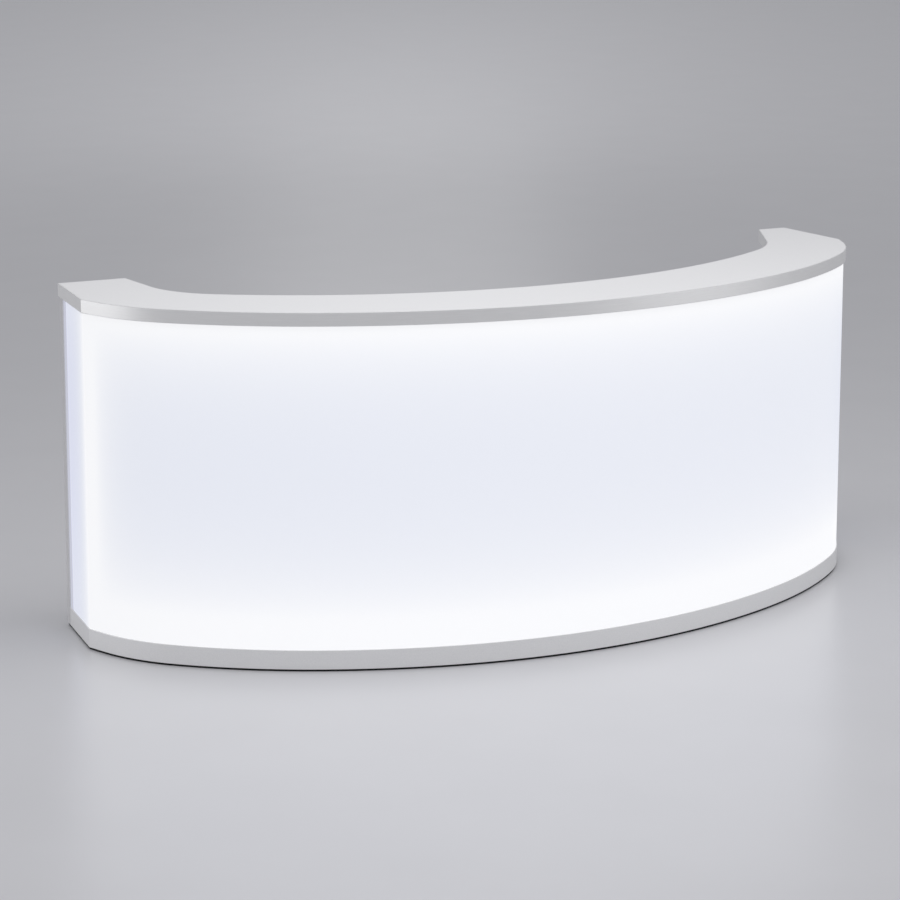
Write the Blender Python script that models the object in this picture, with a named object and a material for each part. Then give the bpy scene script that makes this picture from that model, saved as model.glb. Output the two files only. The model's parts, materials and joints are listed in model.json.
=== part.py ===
"""Bowed reception counter with an internally lit front, as separate boards, sheets and fittings.

Metres, +Z up. The front bows toward -Y, the staff bay opens toward +Y, and the floor is z = 0.
"""

import math

import bmesh
import bpy
from mathutils import Matrix, Vector

# Overall size
HEIGHT = 1.100
WIDTH = 2.720
DEPTH = 1.000

# Plan of the front, which rounds more and more toward the ends: a wide bow, a shoulder at each side, a bend,
# a short straight wing, and an end that leans in. Each angle is the line's heading where that piece of it ends.
FRONT_BOW_ANGLE = math.radians(25.5)
FRONT_SHOULDER_RADIUS = 1.540
FRONT_SHOULDER_ANGLE = math.radians(41.5)
WING_ANGLE = math.radians(68.0)
WING_LENGTH = 0.060
END_LENGTH = 0.309
END_SLANT = math.radians(5.0)
FRONT_BOW_STEPS = 9
FRONT_SHOULDER_STEPS = 5
FRONT_BEND_STEPS = 6

# Plan of the staff side: a bow, a bend at each side, then a straight return to the rear line
TOP_REACH = 0.310
INNER_SIDE_REACH = 0.420
INNER_BOW_ANGLE = math.radians(33.0)
LEFT_REAR_WIDTH = 0.222
RIGHT_REAR_WIDTH = 0.105
LEFT_INNER_BEND_RADIUS = 0.300
RIGHT_INNER_BEND_RADIUS = 0.420
LEFT_RETURN_ANGLE = math.radians(84.0)
RIGHT_RETURN_ANGLE = math.radians(64.0)
INNER_DOOR_STEPS = 4
INNER_BOW_STEPS = 8

# Clearances
SEAT_GAP = 0.0003
MITRE_TRIM = 0.00015
DOOR_GAP = 0.003
BORE_CLEARANCE = 0.00009
KNUCKLE_GAP = 0.0004
TAB_TRIM = 0.0003
BARREL_LIFT = 0.00006

# Worktop
SLAB_THICKNESS = 0.042
EDGE_BAND = 0.002
STAFF_OVERHANG = 0.020
REAR_OVERHANG = 0.012

# Lit front and ends
PLINTH_INSET = 0.005
PLINTH_PROUD = 0.003
END_OUTSET = 0.003
DIFFUSER_THICKNESS = 0.005
LEDGE_WALL = 0.002
LEDGE_RISE = 0.020

# Boards
BOARD = 0.018
PANEL = 0.012
PLINTH_HEIGHT = 0.060
RIB_DEPTH = 0.150

# Strip on the floor
FLOOR_STRIP_HEIGHT = 0.006
FLOOR_STRIP_WIDTH = 0.040
FLOOR_STRIP_SETBACK = 0.003

# Rear corner uprights and the stops that hold the end sheets
UPRIGHT_WIDTH = 0.040
UPRIGHT_GROOVE = 0.006
STOP_WIDTH = 0.026
STOP_THICKNESS = 0.012
STOP_SETBACK = 0.0015

# Light sources
LED_SETBACK = 0.045
LED_CHANNEL_WIDTH = 0.017
LED_CHANNEL_DEPTH = 0.008
LED_CHANNEL_WALL = 0.0015
LED_STRIP_THICKNESS = 0.002
LED_STRIP_SIDE_GAP = 0.001
LED_END_SETBACK = 0.020
CORNER_BAR = 0.020
CORNER_BAR_SETBACK = 0.060
CORNER_STRIP_WIDTH = 0.012
DRIVER_LENGTH = 0.240
DRIVER_WIDTH = 0.060
DRIVER_CASE_WIDTH = 0.056
DRIVER_HEIGHT = 0.036
DRIVER_FLANGE = 0.018
DRIVER_FLANGE_THICKNESS = 0.003
DRIVER_SETBACK = 0.120

# Service door on the staff side
DOOR_WIDTH = 0.620
DOOR_FLOOR_GAP = 0.012
DOOR_TOP_GAP = 0.010
HINGE_LEAF_WIDTH = 0.030
HINGE_LEAF_HEIGHT = 0.060
HINGE_LEAF_THICKNESS = 0.002
HINGE_BARREL_RADIUS = 0.005
HINGE_PIN_RADIUS = 0.002
HINGE_PIN_HEAD_RADIUS = 0.0035
HINGE_PIN_HEAD = 0.002
HINGE_FROM_DOOR_END = 0.230
HINGE_SIDES = 16

# Quarter-turn knob of the door
KNOB_FROM_EDGE = 0.040
KNOB_RADIUS = 0.014
KNOB_DISC = 0.004
KNOB_GRIP_LENGTH = 0.025
KNOB_GRIP_WIDTH = 0.006
KNOB_GRIP_RISE = 0.012
SPINDLE_RADIUS = 0.006
SPINDLE_CLEARANCE = 0.0004
CAM_WIDTH = 0.014
CAM_THICKNESS = 0.003
CAM_BITE = 0.005
CAM_STANDOFF = 0.008
KEEPER_DEPTH = 0.008
KEEPER_SLOT = 0.008
KEEPER_CLEARANCE = 0.002
ROUND_SIDES = 24

# Mains inlet with its rocker switch
INLET_HEIGHT = 0.160
INLET_PLATE_WIDTH = 0.058
INLET_PLATE_RISE = 0.088
INLET_PLATE_THICKNESS = 0.003
INLET_BODY_WIDTH = 0.044
INLET_BODY_RISE = 0.072
INLET_BODY_DEPTH = 0.030
INLET_BODY_CLEARANCE = 0.0005
SOCKET_WIDTH = 0.024
SOCKET_RISE = 0.017
SOCKET_DEPTH = 0.016
PIN_LENGTH = 0.012
PIN_WIDTH = 0.002
PIN_RISE = 0.004
PIN_PITCH = 0.007
ROCKER_WIDTH = 0.020
ROCKER_RISE = 0.024
ROCKER_DEPTH = 0.008
ROCKER_CLEARANCE = 0.001
ROCKER_TILT = math.radians(8.0)
ROCKER_PROUD = 0.0035

# Levels and lines that follow from the sizes above
FRONT_Y = -DEPTH / 2
REAR_Y = DEPTH / 2
HALF_WIDTH = WIDTH / 2
INNER_RADIUS = (HALF_WIDTH - INNER_SIDE_REACH) / math.sin(INNER_BOW_ANGLE)
FRONT_END_STEPS = FRONT_BEND_STEPS + 1
INNER_BEND_STEPS = FRONT_BOW_STEPS + FRONT_SHOULDER_STEPS + FRONT_END_STEPS - INNER_DOOR_STEPS - INNER_BOW_STEPS
DECK_BOTTOM = FLOOR_STRIP_HEIGHT + SEAT_GAP
DECK_TOP = DECK_BOTTOM + BOARD
PLINTH_TOP = DECK_BOTTOM + PLINTH_HEIGHT
SLAB_BOTTOM = HEIGHT - SLAB_THICKNESS
LID_TOP = SLAB_BOTTOM - SEAT_GAP
LID_BOTTOM = LID_TOP - BOARD
DIFFUSER_BOTTOM = PLINTH_TOP + SEAT_GAP
DIFFUSER_INSET = PLINTH_INSET + PLINTH_PROUD
DIFFUSER_BACK = DIFFUSER_INSET + DIFFUSER_THICKNESS
PLINTH_BACK = PLINTH_INSET + BOARD
END_FACE = PLINTH_INSET - END_OUTSET
END_BACK = END_FACE + BOARD
PANEL_BACK = STAFF_OVERHANG + PANEL
REAR_FACE = REAR_OVERHANG
REAR_BACK = REAR_FACE + PANEL
RIB_BOTTOM = DECK_TOP + SEAT_GAP
RIB_TOP = LID_BOTTOM - SEAT_GAP
UPRIGHT_FRONT = REAR_FACE + UPRIGHT_WIDTH
STOP_REAR = UPRIGHT_FRONT + UPRIGHT_GROOVE
STOP_FRONT = STOP_REAR + STOP_WIDTH
CAM_TO_RIB = KNOB_FROM_EDGE - BOARD / 2
CAM_REACH = CAM_TO_RIB + CAM_BITE
DOOR_BOTTOM = FLOOR_STRIP_HEIGHT + DOOR_FLOOR_GAP
DOOR_TOP = LID_TOP - DOOR_TOP_GAP

# Finishes: colour, roughness, metallic
FINISHES = {
    "silver_laminate": ((0.72, 0.72, 0.73), 0.45, 0.0),
    "silver_edge_band": ((0.50, 0.50, 0.51), 0.40, 0.3),
    "silver_plinth": ((0.50, 0.50, 0.51), 0.45, 0.0),
    "opal_acrylic": ((0.88, 0.90, 0.97), 0.35, 0.0),
    "white_board": ((0.80, 0.80, 0.79), 0.60, 0.0),
    "staff_laminate": ((0.62, 0.62, 0.63), 0.50, 0.0),
    "aluminium": ((0.70, 0.71, 0.72), 0.35, 1.0),
    "steel": ((0.62, 0.62, 0.63), 0.30, 1.0),
    "led_strip": ((0.90, 0.92, 0.98), 0.50, 0.0),
    "black_rubber": ((0.02, 0.02, 0.02), 0.80, 0.0),
    "black_plastic": ((0.03, 0.03, 0.03), 0.45, 0.0),
    "driver_case": ((0.78, 0.78, 0.77), 0.50, 0.0),
}


def clear_scene():
    """Empties the scene, so that only the counter's pieces are in it."""
    for item in list(bpy.data.objects):
        bpy.data.objects.remove(item, do_unlink=True)


def finish(node, kind):
    """A material of the node's own in one of the finishes."""
    colour, roughness, metallic = FINISHES[kind]
    made = bpy.data.materials.new(node + "_" + kind)
    made.use_nodes = True
    shader = made.node_tree.nodes["Principled BSDF"]
    shader.inputs["Base Color"].default_value = (*colour, 1.0)
    shader.inputs["Roughness"].default_value = roughness
    shader.inputs["Metallic"].default_value = metallic
    return made


def add_object(name, shape, kind, origin=(0.0, 0.0, 0.0), smooth_angle=30.0):
    """Turns a bmesh in world coordinates into a named object whose origin is at the point given."""
    bmesh.ops.recalc_face_normals(shape, faces=shape.faces)
    bmesh.ops.translate(shape, vec=-Vector(origin), verts=shape.verts)
    mesh = bpy.data.meshes.new(name)
    shape.to_mesh(mesh)
    shape.free()
    mesh.shade_smooth()
    mesh.set_sharp_from_angle(angle=math.radians(smooth_angle))
    mesh.materials.append(finish(name, kind))
    made = bpy.data.objects.new(name, mesh)
    made.location = origin
    bpy.context.scene.collection.objects.link(made)
    return made


def turn_reach(start, end):
    """How far across and back a line of unit radius goes while it turns from one heading to another."""
    return Vector((math.sin(end) - math.sin(start), math.cos(start) - math.cos(end)))


def half_curve(apex_y, arcs):
    """Points from the middle of a bow outward to +X. Arcs: radius, heading at their end, steps."""
    points = [Vector((0.0, apex_y))]
    heading = 0.0
    for radius, turn_to, steps in arcs:
        start = points[-1]
        for step in range(1, steps + 1):
            angle = heading + (turn_to - heading) * step / steps
            points.append(start + turn_reach(heading, angle) * radius)
        heading = turn_to
    return points


def mirrored(points):
    """The same points on the other side of the middle, in reverse order."""
    return [Vector((-p.x, p.y)) for p in reversed(points)]


def front_half():
    """Front line from the middle to the right-hand end.

    The bow's and the bend's radii follow from the half width and from the depth that the end leaves.
    """
    wing = Vector((math.cos(WING_ANGLE), math.sin(WING_ANGLE))) * WING_LENGTH
    shoulder = turn_reach(FRONT_BOW_ANGLE, FRONT_SHOULDER_ANGLE) * FRONT_SHOULDER_RADIUS
    rest = Vector((HALF_WIDTH, DEPTH - END_LENGTH * math.cos(END_SLANT))) - shoulder - wing
    bow = turn_reach(0.0, FRONT_BOW_ANGLE)
    bend = turn_reach(FRONT_SHOULDER_ANGLE, WING_ANGLE)
    both = bow.cross(bend)
    arcs = [
        (rest.cross(bend) / both, FRONT_BOW_ANGLE, FRONT_BOW_STEPS),
        (FRONT_SHOULDER_RADIUS, FRONT_SHOULDER_ANGLE, FRONT_SHOULDER_STEPS),
        (bow.cross(rest) / both, WING_ANGLE, FRONT_BEND_STEPS),
    ]
    points = half_curve(FRONT_Y, arcs)
    return [*points, points[-1] + wing]


FRONT_LINE = mirrored(front_half()[1:]) + front_half()
END_LEAN = (REAR_Y - FRONT_LINE[-1].y) * math.tan(END_SLANT)
REAR_RIGHT = Vector((HALF_WIDTH - END_LEAN, REAR_Y))
REAR_LEFT = Vector((END_LEAN - HALF_WIDTH, REAR_Y))


def inner_half(rear_width, bend_radius, return_angle):
    """Staff-side line from the middle to the rear line, drawn toward +X.

    The bend lies inside the bow's circle and touches it, and it touches the straight return.
    """
    rear_end = REAR_RIGHT - Vector((rear_width, 0.0))
    along = Vector((math.cos(return_angle), math.sin(return_angle)))
    bow_centre = Vector((0.0, FRONT_Y + TOP_REACH + INNER_RADIUS))
    beside_end = rear_end + Vector((-along.y, along.x)) * bend_radius - bow_centre
    lap = beside_end.dot(along)
    between_centres = INNER_RADIUS - bend_radius
    run = lap + math.sqrt(lap**2 + between_centres**2 - beside_end.length_squared)
    bend_centre = beside_end - along * run
    arcs = [
        (INNER_RADIUS, DOOR_WIDTH / 2 / INNER_RADIUS, INNER_DOOR_STEPS),
        (INNER_RADIUS, math.atan2(bend_centre.x, -bend_centre.y), INNER_BOW_STEPS),
        (bend_radius, return_angle, INNER_BEND_STEPS),
    ]
    return [*half_curve(FRONT_Y + TOP_REACH, arcs), rear_end]


INNER_LINE = (
    mirrored(inner_half(LEFT_REAR_WIDTH, LEFT_INNER_BEND_RADIUS, LEFT_RETURN_ANGLE)[1:])
    + inner_half(RIGHT_REAR_WIDTH, RIGHT_INNER_BEND_RADIUS, RIGHT_RETURN_ANGLE)
)
INNER_MIDDLE = len(INNER_LINE) // 2
DOOR_LEFT = INNER_MIDDLE - INNER_DOOR_STEPS
DOOR_RIGHT = INNER_MIDDLE + INNER_DOOR_STEPS
BOW_LEFT = DOOR_LEFT - INNER_BOW_STEPS
BOW_RIGHT = DOOR_RIGHT + INNER_BOW_STEPS


def crossing(first, second):
    """Where two lines meet, each given as a point and a direction."""
    turn = first[1].cross(second[1])
    along = (second[0] - first[0]).cross(second[1]) / turn
    return first[0] + first[1] * along


def outline(front=0.0, ends=0.0, rear=0.0, inner=0.0):
    """The worktop's plan with each side moved inward by its own distance, every side staying parallel.

    Gives the front and inner lines from left to right, and the two rear corners.
    """
    sides = [
        (front, FRONT_LINE),
        (ends, [FRONT_LINE[-1], REAR_RIGHT]),
        (rear, [REAR_RIGHT, INNER_LINE[-1]]),
        (inner, INNER_LINE[::-1]),
        (rear, [INNER_LINE[0], REAR_LEFT]),
        (ends, [REAR_LEFT, FRONT_LINE[0]]),
    ]
    lines = []
    for inset, points in sides:
        for near, far in zip(points, points[1:]):
            along = (far - near).normalized()
            lines.append((near + Vector((-along.y, along.x)) * inset, along))
    corners = [crossing(lines[i - 1], lines[i]) for i in range(len(lines))]
    front_count = len(FRONT_LINE)
    inner_start = front_count + 1
    inner_end = inner_start + len(INNER_LINE)
    return {
        "front": corners[:front_count],
        "rear_right": corners[front_count],
        "inner": corners[inner_start:inner_end][::-1],
        "rear_left": corners[inner_end],
    }


def outer_line(plan):
    """The ends and the front of a plan in one line, from the rear left corner to the rear right one."""
    return [plan["rear_left"], *plan["front"], plan["rear_right"]]


def at_level(points, z):
    """Plan points lifted to a level."""
    return [Vector((p.x, p.y, z)) for p in points]


def loft(rails, closed=False):
    """A closed body through lines of equal length that run round its section, capped unless it is a loop."""
    shape = bmesh.new()
    rows = [[shape.verts.new(p) for p in rail] for rail in rails]
    count = len(rails[0])
    spans = count if closed else count - 1
    for k in range(len(rows)):
        near, far = rows[k], rows[(k + 1) % len(rows)]
        for i in range(spans):
            j = (i + 1) % count
            shape.faces.new((near[i], near[j], far[j], far[i]))
    if not closed:
        shape.faces.new([row[0] for row in rows])
        shape.faces.new([row[-1] for row in rows])
    return shape


def board(side_a, side_b, bottom, top, closed=False):
    """A flat or bent board between two plan lines and two levels."""
    rails = [at_level(side_a, bottom), at_level(side_b, bottom), at_level(side_b, top), at_level(side_a, top)]
    return loft(rails, closed)


def prism(points, bottom, top):
    """An upright bar with the plan given corner by corner."""
    shape = bmesh.new()
    low = [shape.verts.new(p) for p in at_level(points, bottom)]
    high = [shape.verts.new(p) for p in at_level(points, top)]
    shape.faces.new(low)
    shape.faces.new(high)
    for i in range(len(points)):
        j = (i + 1) % len(points)
        shape.faces.new((low[i], low[j], high[j], high[i]))
    return shape


def block(frame, low, high):
    """A box between two opposite corners of a local frame."""
    shape = bmesh.new()
    middle = (Vector(low) + Vector(high)) / 2
    size = [abs(b - a) for a, b in zip(low, high)]
    place = frame @ Matrix.Translation(middle) @ Matrix.Diagonal((*size, 1.0))
    bmesh.ops.create_cube(shape, size=1.0, matrix=place)
    return shape


def drum(frame, radius, low, high, sides):
    """A round bar along the local z axis."""
    shape = bmesh.new()
    place = frame @ Matrix.Translation((0.0, 0.0, (low + high) / 2))
    bmesh.ops.create_cone(
        shape, cap_ends=True, segments=sides, radius1=radius, radius2=radius, depth=high - low, matrix=place
    )
    return shape


def frame_at(point, x_axis, z_axis):
    """A local frame with its origin at a point, from the directions of its x and z axes."""
    z = Vector(z_axis).normalized()
    y = z.cross(Vector(x_axis)).normalized()
    x = y.cross(z)
    turn = Matrix((x, y, z)).transposed().to_4x4()
    return Matrix.Translation(point) @ turn


def wall_frame(point, along, level):
    """On the staff side, seen from there: x to the right, y up, z out. The staff-side line runs along."""
    right = Vector((-along.x, -along.y, 0.0))
    out = Vector((-along.y, along.x, 0.0))
    return frame_at((point.x, point.y, level), right, out)


def combine(target, shape, operation):
    """Adds or cuts a shape from an object with an exact boolean, and keeps only the result."""
    bmesh.ops.recalc_face_normals(shape, faces=shape.faces)
    tool_mesh = bpy.data.meshes.new("tool")
    shape.to_mesh(tool_mesh)
    shape.free()
    tool = bpy.data.objects.new("tool", tool_mesh)
    tool.display_type = "WIRE"
    tool.hide_render = True
    bpy.context.scene.collection.objects.link(tool)
    step = target.modifiers.new("combine", "BOOLEAN")
    step.solver = "EXACT"
    step.operation = operation
    step.object = tool
    bpy.context.view_layer.update()
    graph = bpy.context.evaluated_depsgraph_get()
    result = bpy.data.meshes.new_from_object(target.evaluated_get(graph))
    target.modifiers.clear()
    old = target.data
    target.data = result
    bpy.data.meshes.remove(old)
    bpy.data.objects.remove(tool, do_unlink=True)


def ends_trimmed(points, start, end):
    """A plan line shortened by a length at each end."""
    first = (points[1] - points[0]).normalized() * start
    last = (points[-2] - points[-1]).normalized() * end
    return [points[0] + first, *points[1:-1], points[-1] + last]


def add_worktop():
    """Slab core with an edge band round its front and ends, and another along the staff side."""
    core = outline(*[EDGE_BAND + SEAT_GAP] * 4)
    add_object("worktop", board(outer_line(core), core["inner"], SLAB_BOTTOM, HEIGHT), "silver_laminate")
    face = outer_line(outline())
    back = outer_line(outline(front=EDGE_BAND, ends=EDGE_BAND))
    add_object("outer_edge_band", board(face, back, SLAB_BOTTOM, HEIGHT), "silver_edge_band")
    past_band = EDGE_BAND + SEAT_GAP
    lines = []
    for inset in (0.0, EDGE_BAND):
        plan = outline(ends=past_band, rear=inset, inner=inset)
        lines.append([plan["rear_left"], *plan["inner"], plan["rear_right"]])
    add_object("inner_edge_band", board(*lines, SLAB_BOTTOM, HEIGHT), "silver_edge_band")


def add_decks():
    """Lid board under the worktop, and the base deck that carries the light sources and the ribs."""
    lid = outline(DIFFUSER_BACK + SEAT_GAP, END_BACK + SEAT_GAP, REAR_BACK + SEAT_GAP, PANEL_BACK + SEAT_GAP)
    add_object("lid_board", board(outer_line(lid), lid["inner"], LID_BOTTOM, LID_TOP), "white_board")
    deck = outline(PLINTH_BACK + SEAT_GAP, END_BACK + SEAT_GAP, REAR_BACK + SEAT_GAP, PANEL_BACK + SEAT_GAP)
    add_object("base_deck", board(outer_line(deck), deck["inner"], DECK_BOTTOM, DECK_TOP), "white_board")


def add_floor_strip():
    """Black strip on the floor, a closed loop set back under the plinth and the panels."""
    loops = []
    for width in (0.0, FLOOR_STRIP_WIDTH):
        back = FLOOR_STRIP_SETBACK + width
        plan = outline(PLINTH_INSET + back, END_FACE + back, REAR_FACE + back, STAFF_OVERHANG + back)
        loops.append([*outer_line(plan), *reversed(plan["inner"])])
    add_object("floor_strip", board(*loops, 0.0, FLOOR_STRIP_HEIGHT, closed=True), "black_rubber")


def mitred_front(face, back):
    """Face and back lines of a bent front piece, mitred at its ends. Each side: insets of front and ends."""
    lines = [outline(front=front, ends=ends)["front"] for front, ends in (face, back)]
    return [ends_trimmed(line, MITRE_TRIM, MITRE_TRIM) for line in lines]


def mitred_end(word, face, back, rear):
    """Plan of the straight piece along one end, from its mitre with the front piece to a line across the end."""
    index = 0 if word == "left" else -1
    edges = []
    for front, ends in (face, back):
        plan = outline(front=front, ends=ends, rear=rear)
        edges.append(ends_trimmed([plan["front"][index], plan["rear_" + word]], MITRE_TRIM, 0.0))
    return [*edges[0], *reversed(edges[1])]


def rear_bar(word, insets):
    """Plan of an upright bar by a rear corner, each point as its insets from the end and the rear line."""
    return [outline(ends=ends, rear=rear)["rear_" + word] for ends, rear in insets]


def add_plinth():
    """Grey band round the foot: one bent front piece, mitred to a straight piece at each end."""
    face = (PLINTH_INSET, END_FACE)
    back = (PLINTH_BACK, END_BACK)
    bent = board(*mitred_front(face, back), DECK_BOTTOM, PLINTH_TOP)
    add_object("front_plinth", bent, "silver_plinth")
    for word in ("left", "right"):
        plan = mitred_end(word, face, back, UPRIGHT_FRONT + SEAT_GAP)
        add_object(word + "_plinth", prism(plan, DECK_BOTTOM, PLINTH_TOP), "silver_plinth")


def add_diffusers():
    """Opal sheets: one bowed front sheet, mitred to a flat one at each end."""
    face = (DIFFUSER_INSET, DIFFUSER_INSET - END_OUTSET)
    back = (DIFFUSER_BACK, DIFFUSER_BACK - END_OUTSET)
    bowed = board(*mitred_front(face, back), DIFFUSER_BOTTOM, LID_TOP)
    add_object("front_diffuser", bowed, "opal_acrylic")
    for word in ("left", "right"):
        plan = mitred_end(word, face, back, STOP_FRONT + SEAT_GAP)
        add_object(word + "_end_diffuser", prism(plan, DIFFUSER_BOTTOM, LID_TOP), "opal_acrylic")


def add_ledge():
    """Angle strip on the plinth that holds the foot of the opal sheets from behind."""
    inside = DIFFUSER_BACK + SEAT_GAP
    section = [
        (inside, DIFFUSER_BOTTOM),
        (PLINTH_BACK, DIFFUSER_BOTTOM),
        (PLINTH_BACK, DIFFUSER_BOTTOM + LEDGE_WALL),
        (inside + LEDGE_WALL, DIFFUSER_BOTTOM + LEDGE_WALL),
        (inside + LEDGE_WALL, DIFFUSER_BOTTOM + LEDGE_RISE),
        (inside, DIFFUSER_BOTTOM + LEDGE_RISE),
    ]
    rails = []
    for inset, z in section:
        plan = outline(front=inset, ends=inset - END_OUTSET, rear=STOP_FRONT + SEAT_GAP)
        rails.append(at_level(outer_line(plan), z))
    add_object("diffuser_ledge", loft(rails), "aluminium")


def add_rear_uprights():
    """Upright at each rear corner, and the grooved stop strip that holds the end sheet."""
    upright = [
        (END_FACE, UPRIGHT_FRONT),
        (END_FACE, REAR_FACE),
        (END_BACK, REAR_FACE),
        (END_BACK, UPRIGHT_FRONT),
    ]
    face = END_FACE + STOP_SETBACK
    groove = face + STOP_THICKNESS / 2
    back = face + STOP_THICKNESS
    tongue = UPRIGHT_FRONT + SEAT_GAP
    stop = [
        (face, STOP_FRONT),
        (face, STOP_REAR),
        (groove, STOP_REAR),
        (groove, tongue),
        (back, tongue),
        (back, STOP_FRONT),
    ]
    for word in ("left", "right"):
        bar = prism(rear_bar(word, upright), DECK_BOTTOM, LID_TOP)
        add_object(word + "_rear_upright", bar, "silver_plinth")
        strip = prism(rear_bar(word, stop), DIFFUSER_BOTTOM, LID_TOP)
        add_object(word + "_diffuser_stop", strip, "opal_acrylic")


def rear_panel_plan(corner, index):
    """Plan of the panel on the rear line at one side, from the upright to the staff-side panel."""
    near = outline(rear=REAR_FACE, ends=END_BACK + SEAT_GAP, inner=PANEL_BACK + SEAT_GAP)
    far = outline(rear=REAR_BACK, ends=END_BACK + SEAT_GAP, inner=PANEL_BACK + SEAT_GAP)
    return [near[corner], near["inner"][index], far["inner"][index], far[corner]]


def inlet_frame():
    """Halfway along the rear face of the left rear panel, seen from behind: x right, y up, z out."""
    plan = rear_panel_plan("rear_left", 0)
    return wall_frame((plan[0] + plan[1]) / 2, (plan[1] - plan[0]).normalized(), INLET_HEIGHT)


def add_rear_panels():
    """Flat panel on the rear line at each side, the left one cut out for the mains inlet."""
    for word, corner, index in (("left", "rear_left", 0), ("right", "rear_right", -1)):
        plan = rear_panel_plan(corner, index)
        panel = add_object(word + "_rear_panel", prism(plan, DECK_BOTTOM, LID_TOP), "staff_laminate")
        if word == "left":
            half_x = INLET_BODY_WIDTH / 2 + INLET_BODY_CLEARANCE
            half_y = INLET_BODY_RISE / 2 + INLET_BODY_CLEARANCE
            hole = block(inlet_frame(), (-half_x, -half_y, -2 * PANEL), (half_x, half_y, PANEL))
            combine(panel, hole, "DIFFERENCE")


def panel_lines():
    """Staff face and back of the panels along the staff side."""
    face = outline(rear=REAR_FACE, inner=STAFF_OVERHANG)["inner"]
    back = outline(rear=REAR_FACE, inner=PANEL_BACK)["inner"]
    return face, back


def add_back_panels():
    """Bent panels along the staff side, from each rear line to the service door."""
    face, back = panel_lines()
    half_gap = DOOR_GAP / 2
    left = [ends_trimmed(line[: DOOR_LEFT + 1], 0.0, half_gap) for line in (face, back)]
    right = [ends_trimmed(line[DOOR_RIGHT:], half_gap, 0.0) for line in (face, back)]
    add_object("left_back_panel", board(*left, DECK_BOTTOM, LID_TOP), "staff_laminate")
    add_object("right_back_panel", board(*right, DECK_BOTTOM, LID_TOP), "staff_laminate")


def vertex_frame(index, inset):
    """At a corner of the staff-side line, at floor level."""
    line = outline(rear=REAR_FACE, inner=inset)["inner"]
    before = (line[index] - line[index - 1]).normalized()
    after = (line[index + 1] - line[index]).normalized()
    return wall_frame(line[index], (before + after).normalized(), 0.0)


def rib_shape(index):
    """Upright rib board that stands square to the staff-side panel at one of its corners."""
    frame = vertex_frame(index, PANEL_BACK + SEAT_GAP)
    return block(frame, (-BOARD / 2, RIB_BOTTOM, -RIB_DEPTH), (BOARD / 2, RIB_TOP, 0.0))


def add_ribs():
    """Three ribs at each side: by the door, halfway along the bow, and where the bow ends."""
    half = INNER_BOW_STEPS // 2
    places = {
        "left_bow_rib": BOW_LEFT,
        "left_middle_rib": DOOR_LEFT - half,
        "left_door_rib": DOOR_LEFT,
        "right_door_rib": DOOR_RIGHT,
        "right_middle_rib": DOOR_RIGHT + half,
        "right_bow_rib": BOW_RIGHT,
    }
    for name, index in places.items():
        rib = add_object(name, rib_shape(index), "white_board")
        if name == "right_door_rib":
            combine(rib, keeper_slot(), "DIFFERENCE")


def knob_level():
    """Height of the knob above the floor, at the middle of the door."""
    return (DOOR_BOTTOM + DOOR_TOP) / 2


def knob_frame():
    """On the staff face of the door by its free edge, which lies toward the frame's -x."""
    line = panel_lines()[0]
    edge = line[DOOR_RIGHT]
    along = (edge - line[DOOR_RIGHT - 1]).normalized()
    return wall_frame(edge - along * KNOB_FROM_EDGE, along, knob_level())


def keeper_slot():
    """Slot in the side of the rib by the door's free edge, as high as the knob's cam sweeps on its way in."""
    frame = vertex_frame(DOOR_RIGHT, PANEL_BACK + SEAT_GAP)
    middle = CAM_STANDOFF - SEAT_GAP + CAM_THICKNESS / 2
    cam_corner = math.hypot(CAM_REACH, CAM_WIDTH / 2)
    half_rise = math.sqrt(cam_corner**2 - CAM_TO_RIB**2) + KEEPER_CLEARANCE
    low = (BOARD / 2 - KEEPER_DEPTH, knob_level() - half_rise, -middle - KEEPER_SLOT / 2)
    high = (BOARD, knob_level() + half_rise, -middle + KEEPER_SLOT / 2)
    return block(frame, low, high)


def hinge_frame():
    """On the door's hinge axis at floor level, z up along it."""
    corner = vertex_frame(DOOR_LEFT, STAFF_OVERHANG)
    lift = SEAT_GAP + BARREL_LIFT + HINGE_BARREL_RADIUS
    point = corner.translation + corner.col[2].to_3d() * lift
    return frame_at(point, corner.col[0].to_3d(), (0.0, 0.0, 1.0))


def add_service_door():
    """Bent door in the middle of the staff side, bored for the knob, its origin on the hinge axis."""
    face, back = panel_lines()
    half_gap = DOOR_GAP / 2
    lines = [ends_trimmed(line[DOOR_LEFT : DOOR_RIGHT + 1], half_gap, half_gap) for line in (face, back)]
    axis = hinge_frame().translation
    door = add_object("service_door", board(*lines, DOOR_BOTTOM, DOOR_TOP), "staff_laminate", axis)
    bore = drum(knob_frame(), SPINDLE_RADIUS + SPINDLE_CLEARANCE, -2 * PANEL, PANEL, ROUND_SIDES)
    combine(door, bore, "DIFFERENCE")


def leaf_frame(step):
    """On the panel face beside the hinge corner, on the side of the next corner given."""
    line = panel_lines()[0]
    along = (line[DOOR_LEFT + step] - line[DOOR_LEFT]).normalized() * step
    return wall_frame(line[DOOR_LEFT], along, 0.0)


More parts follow.
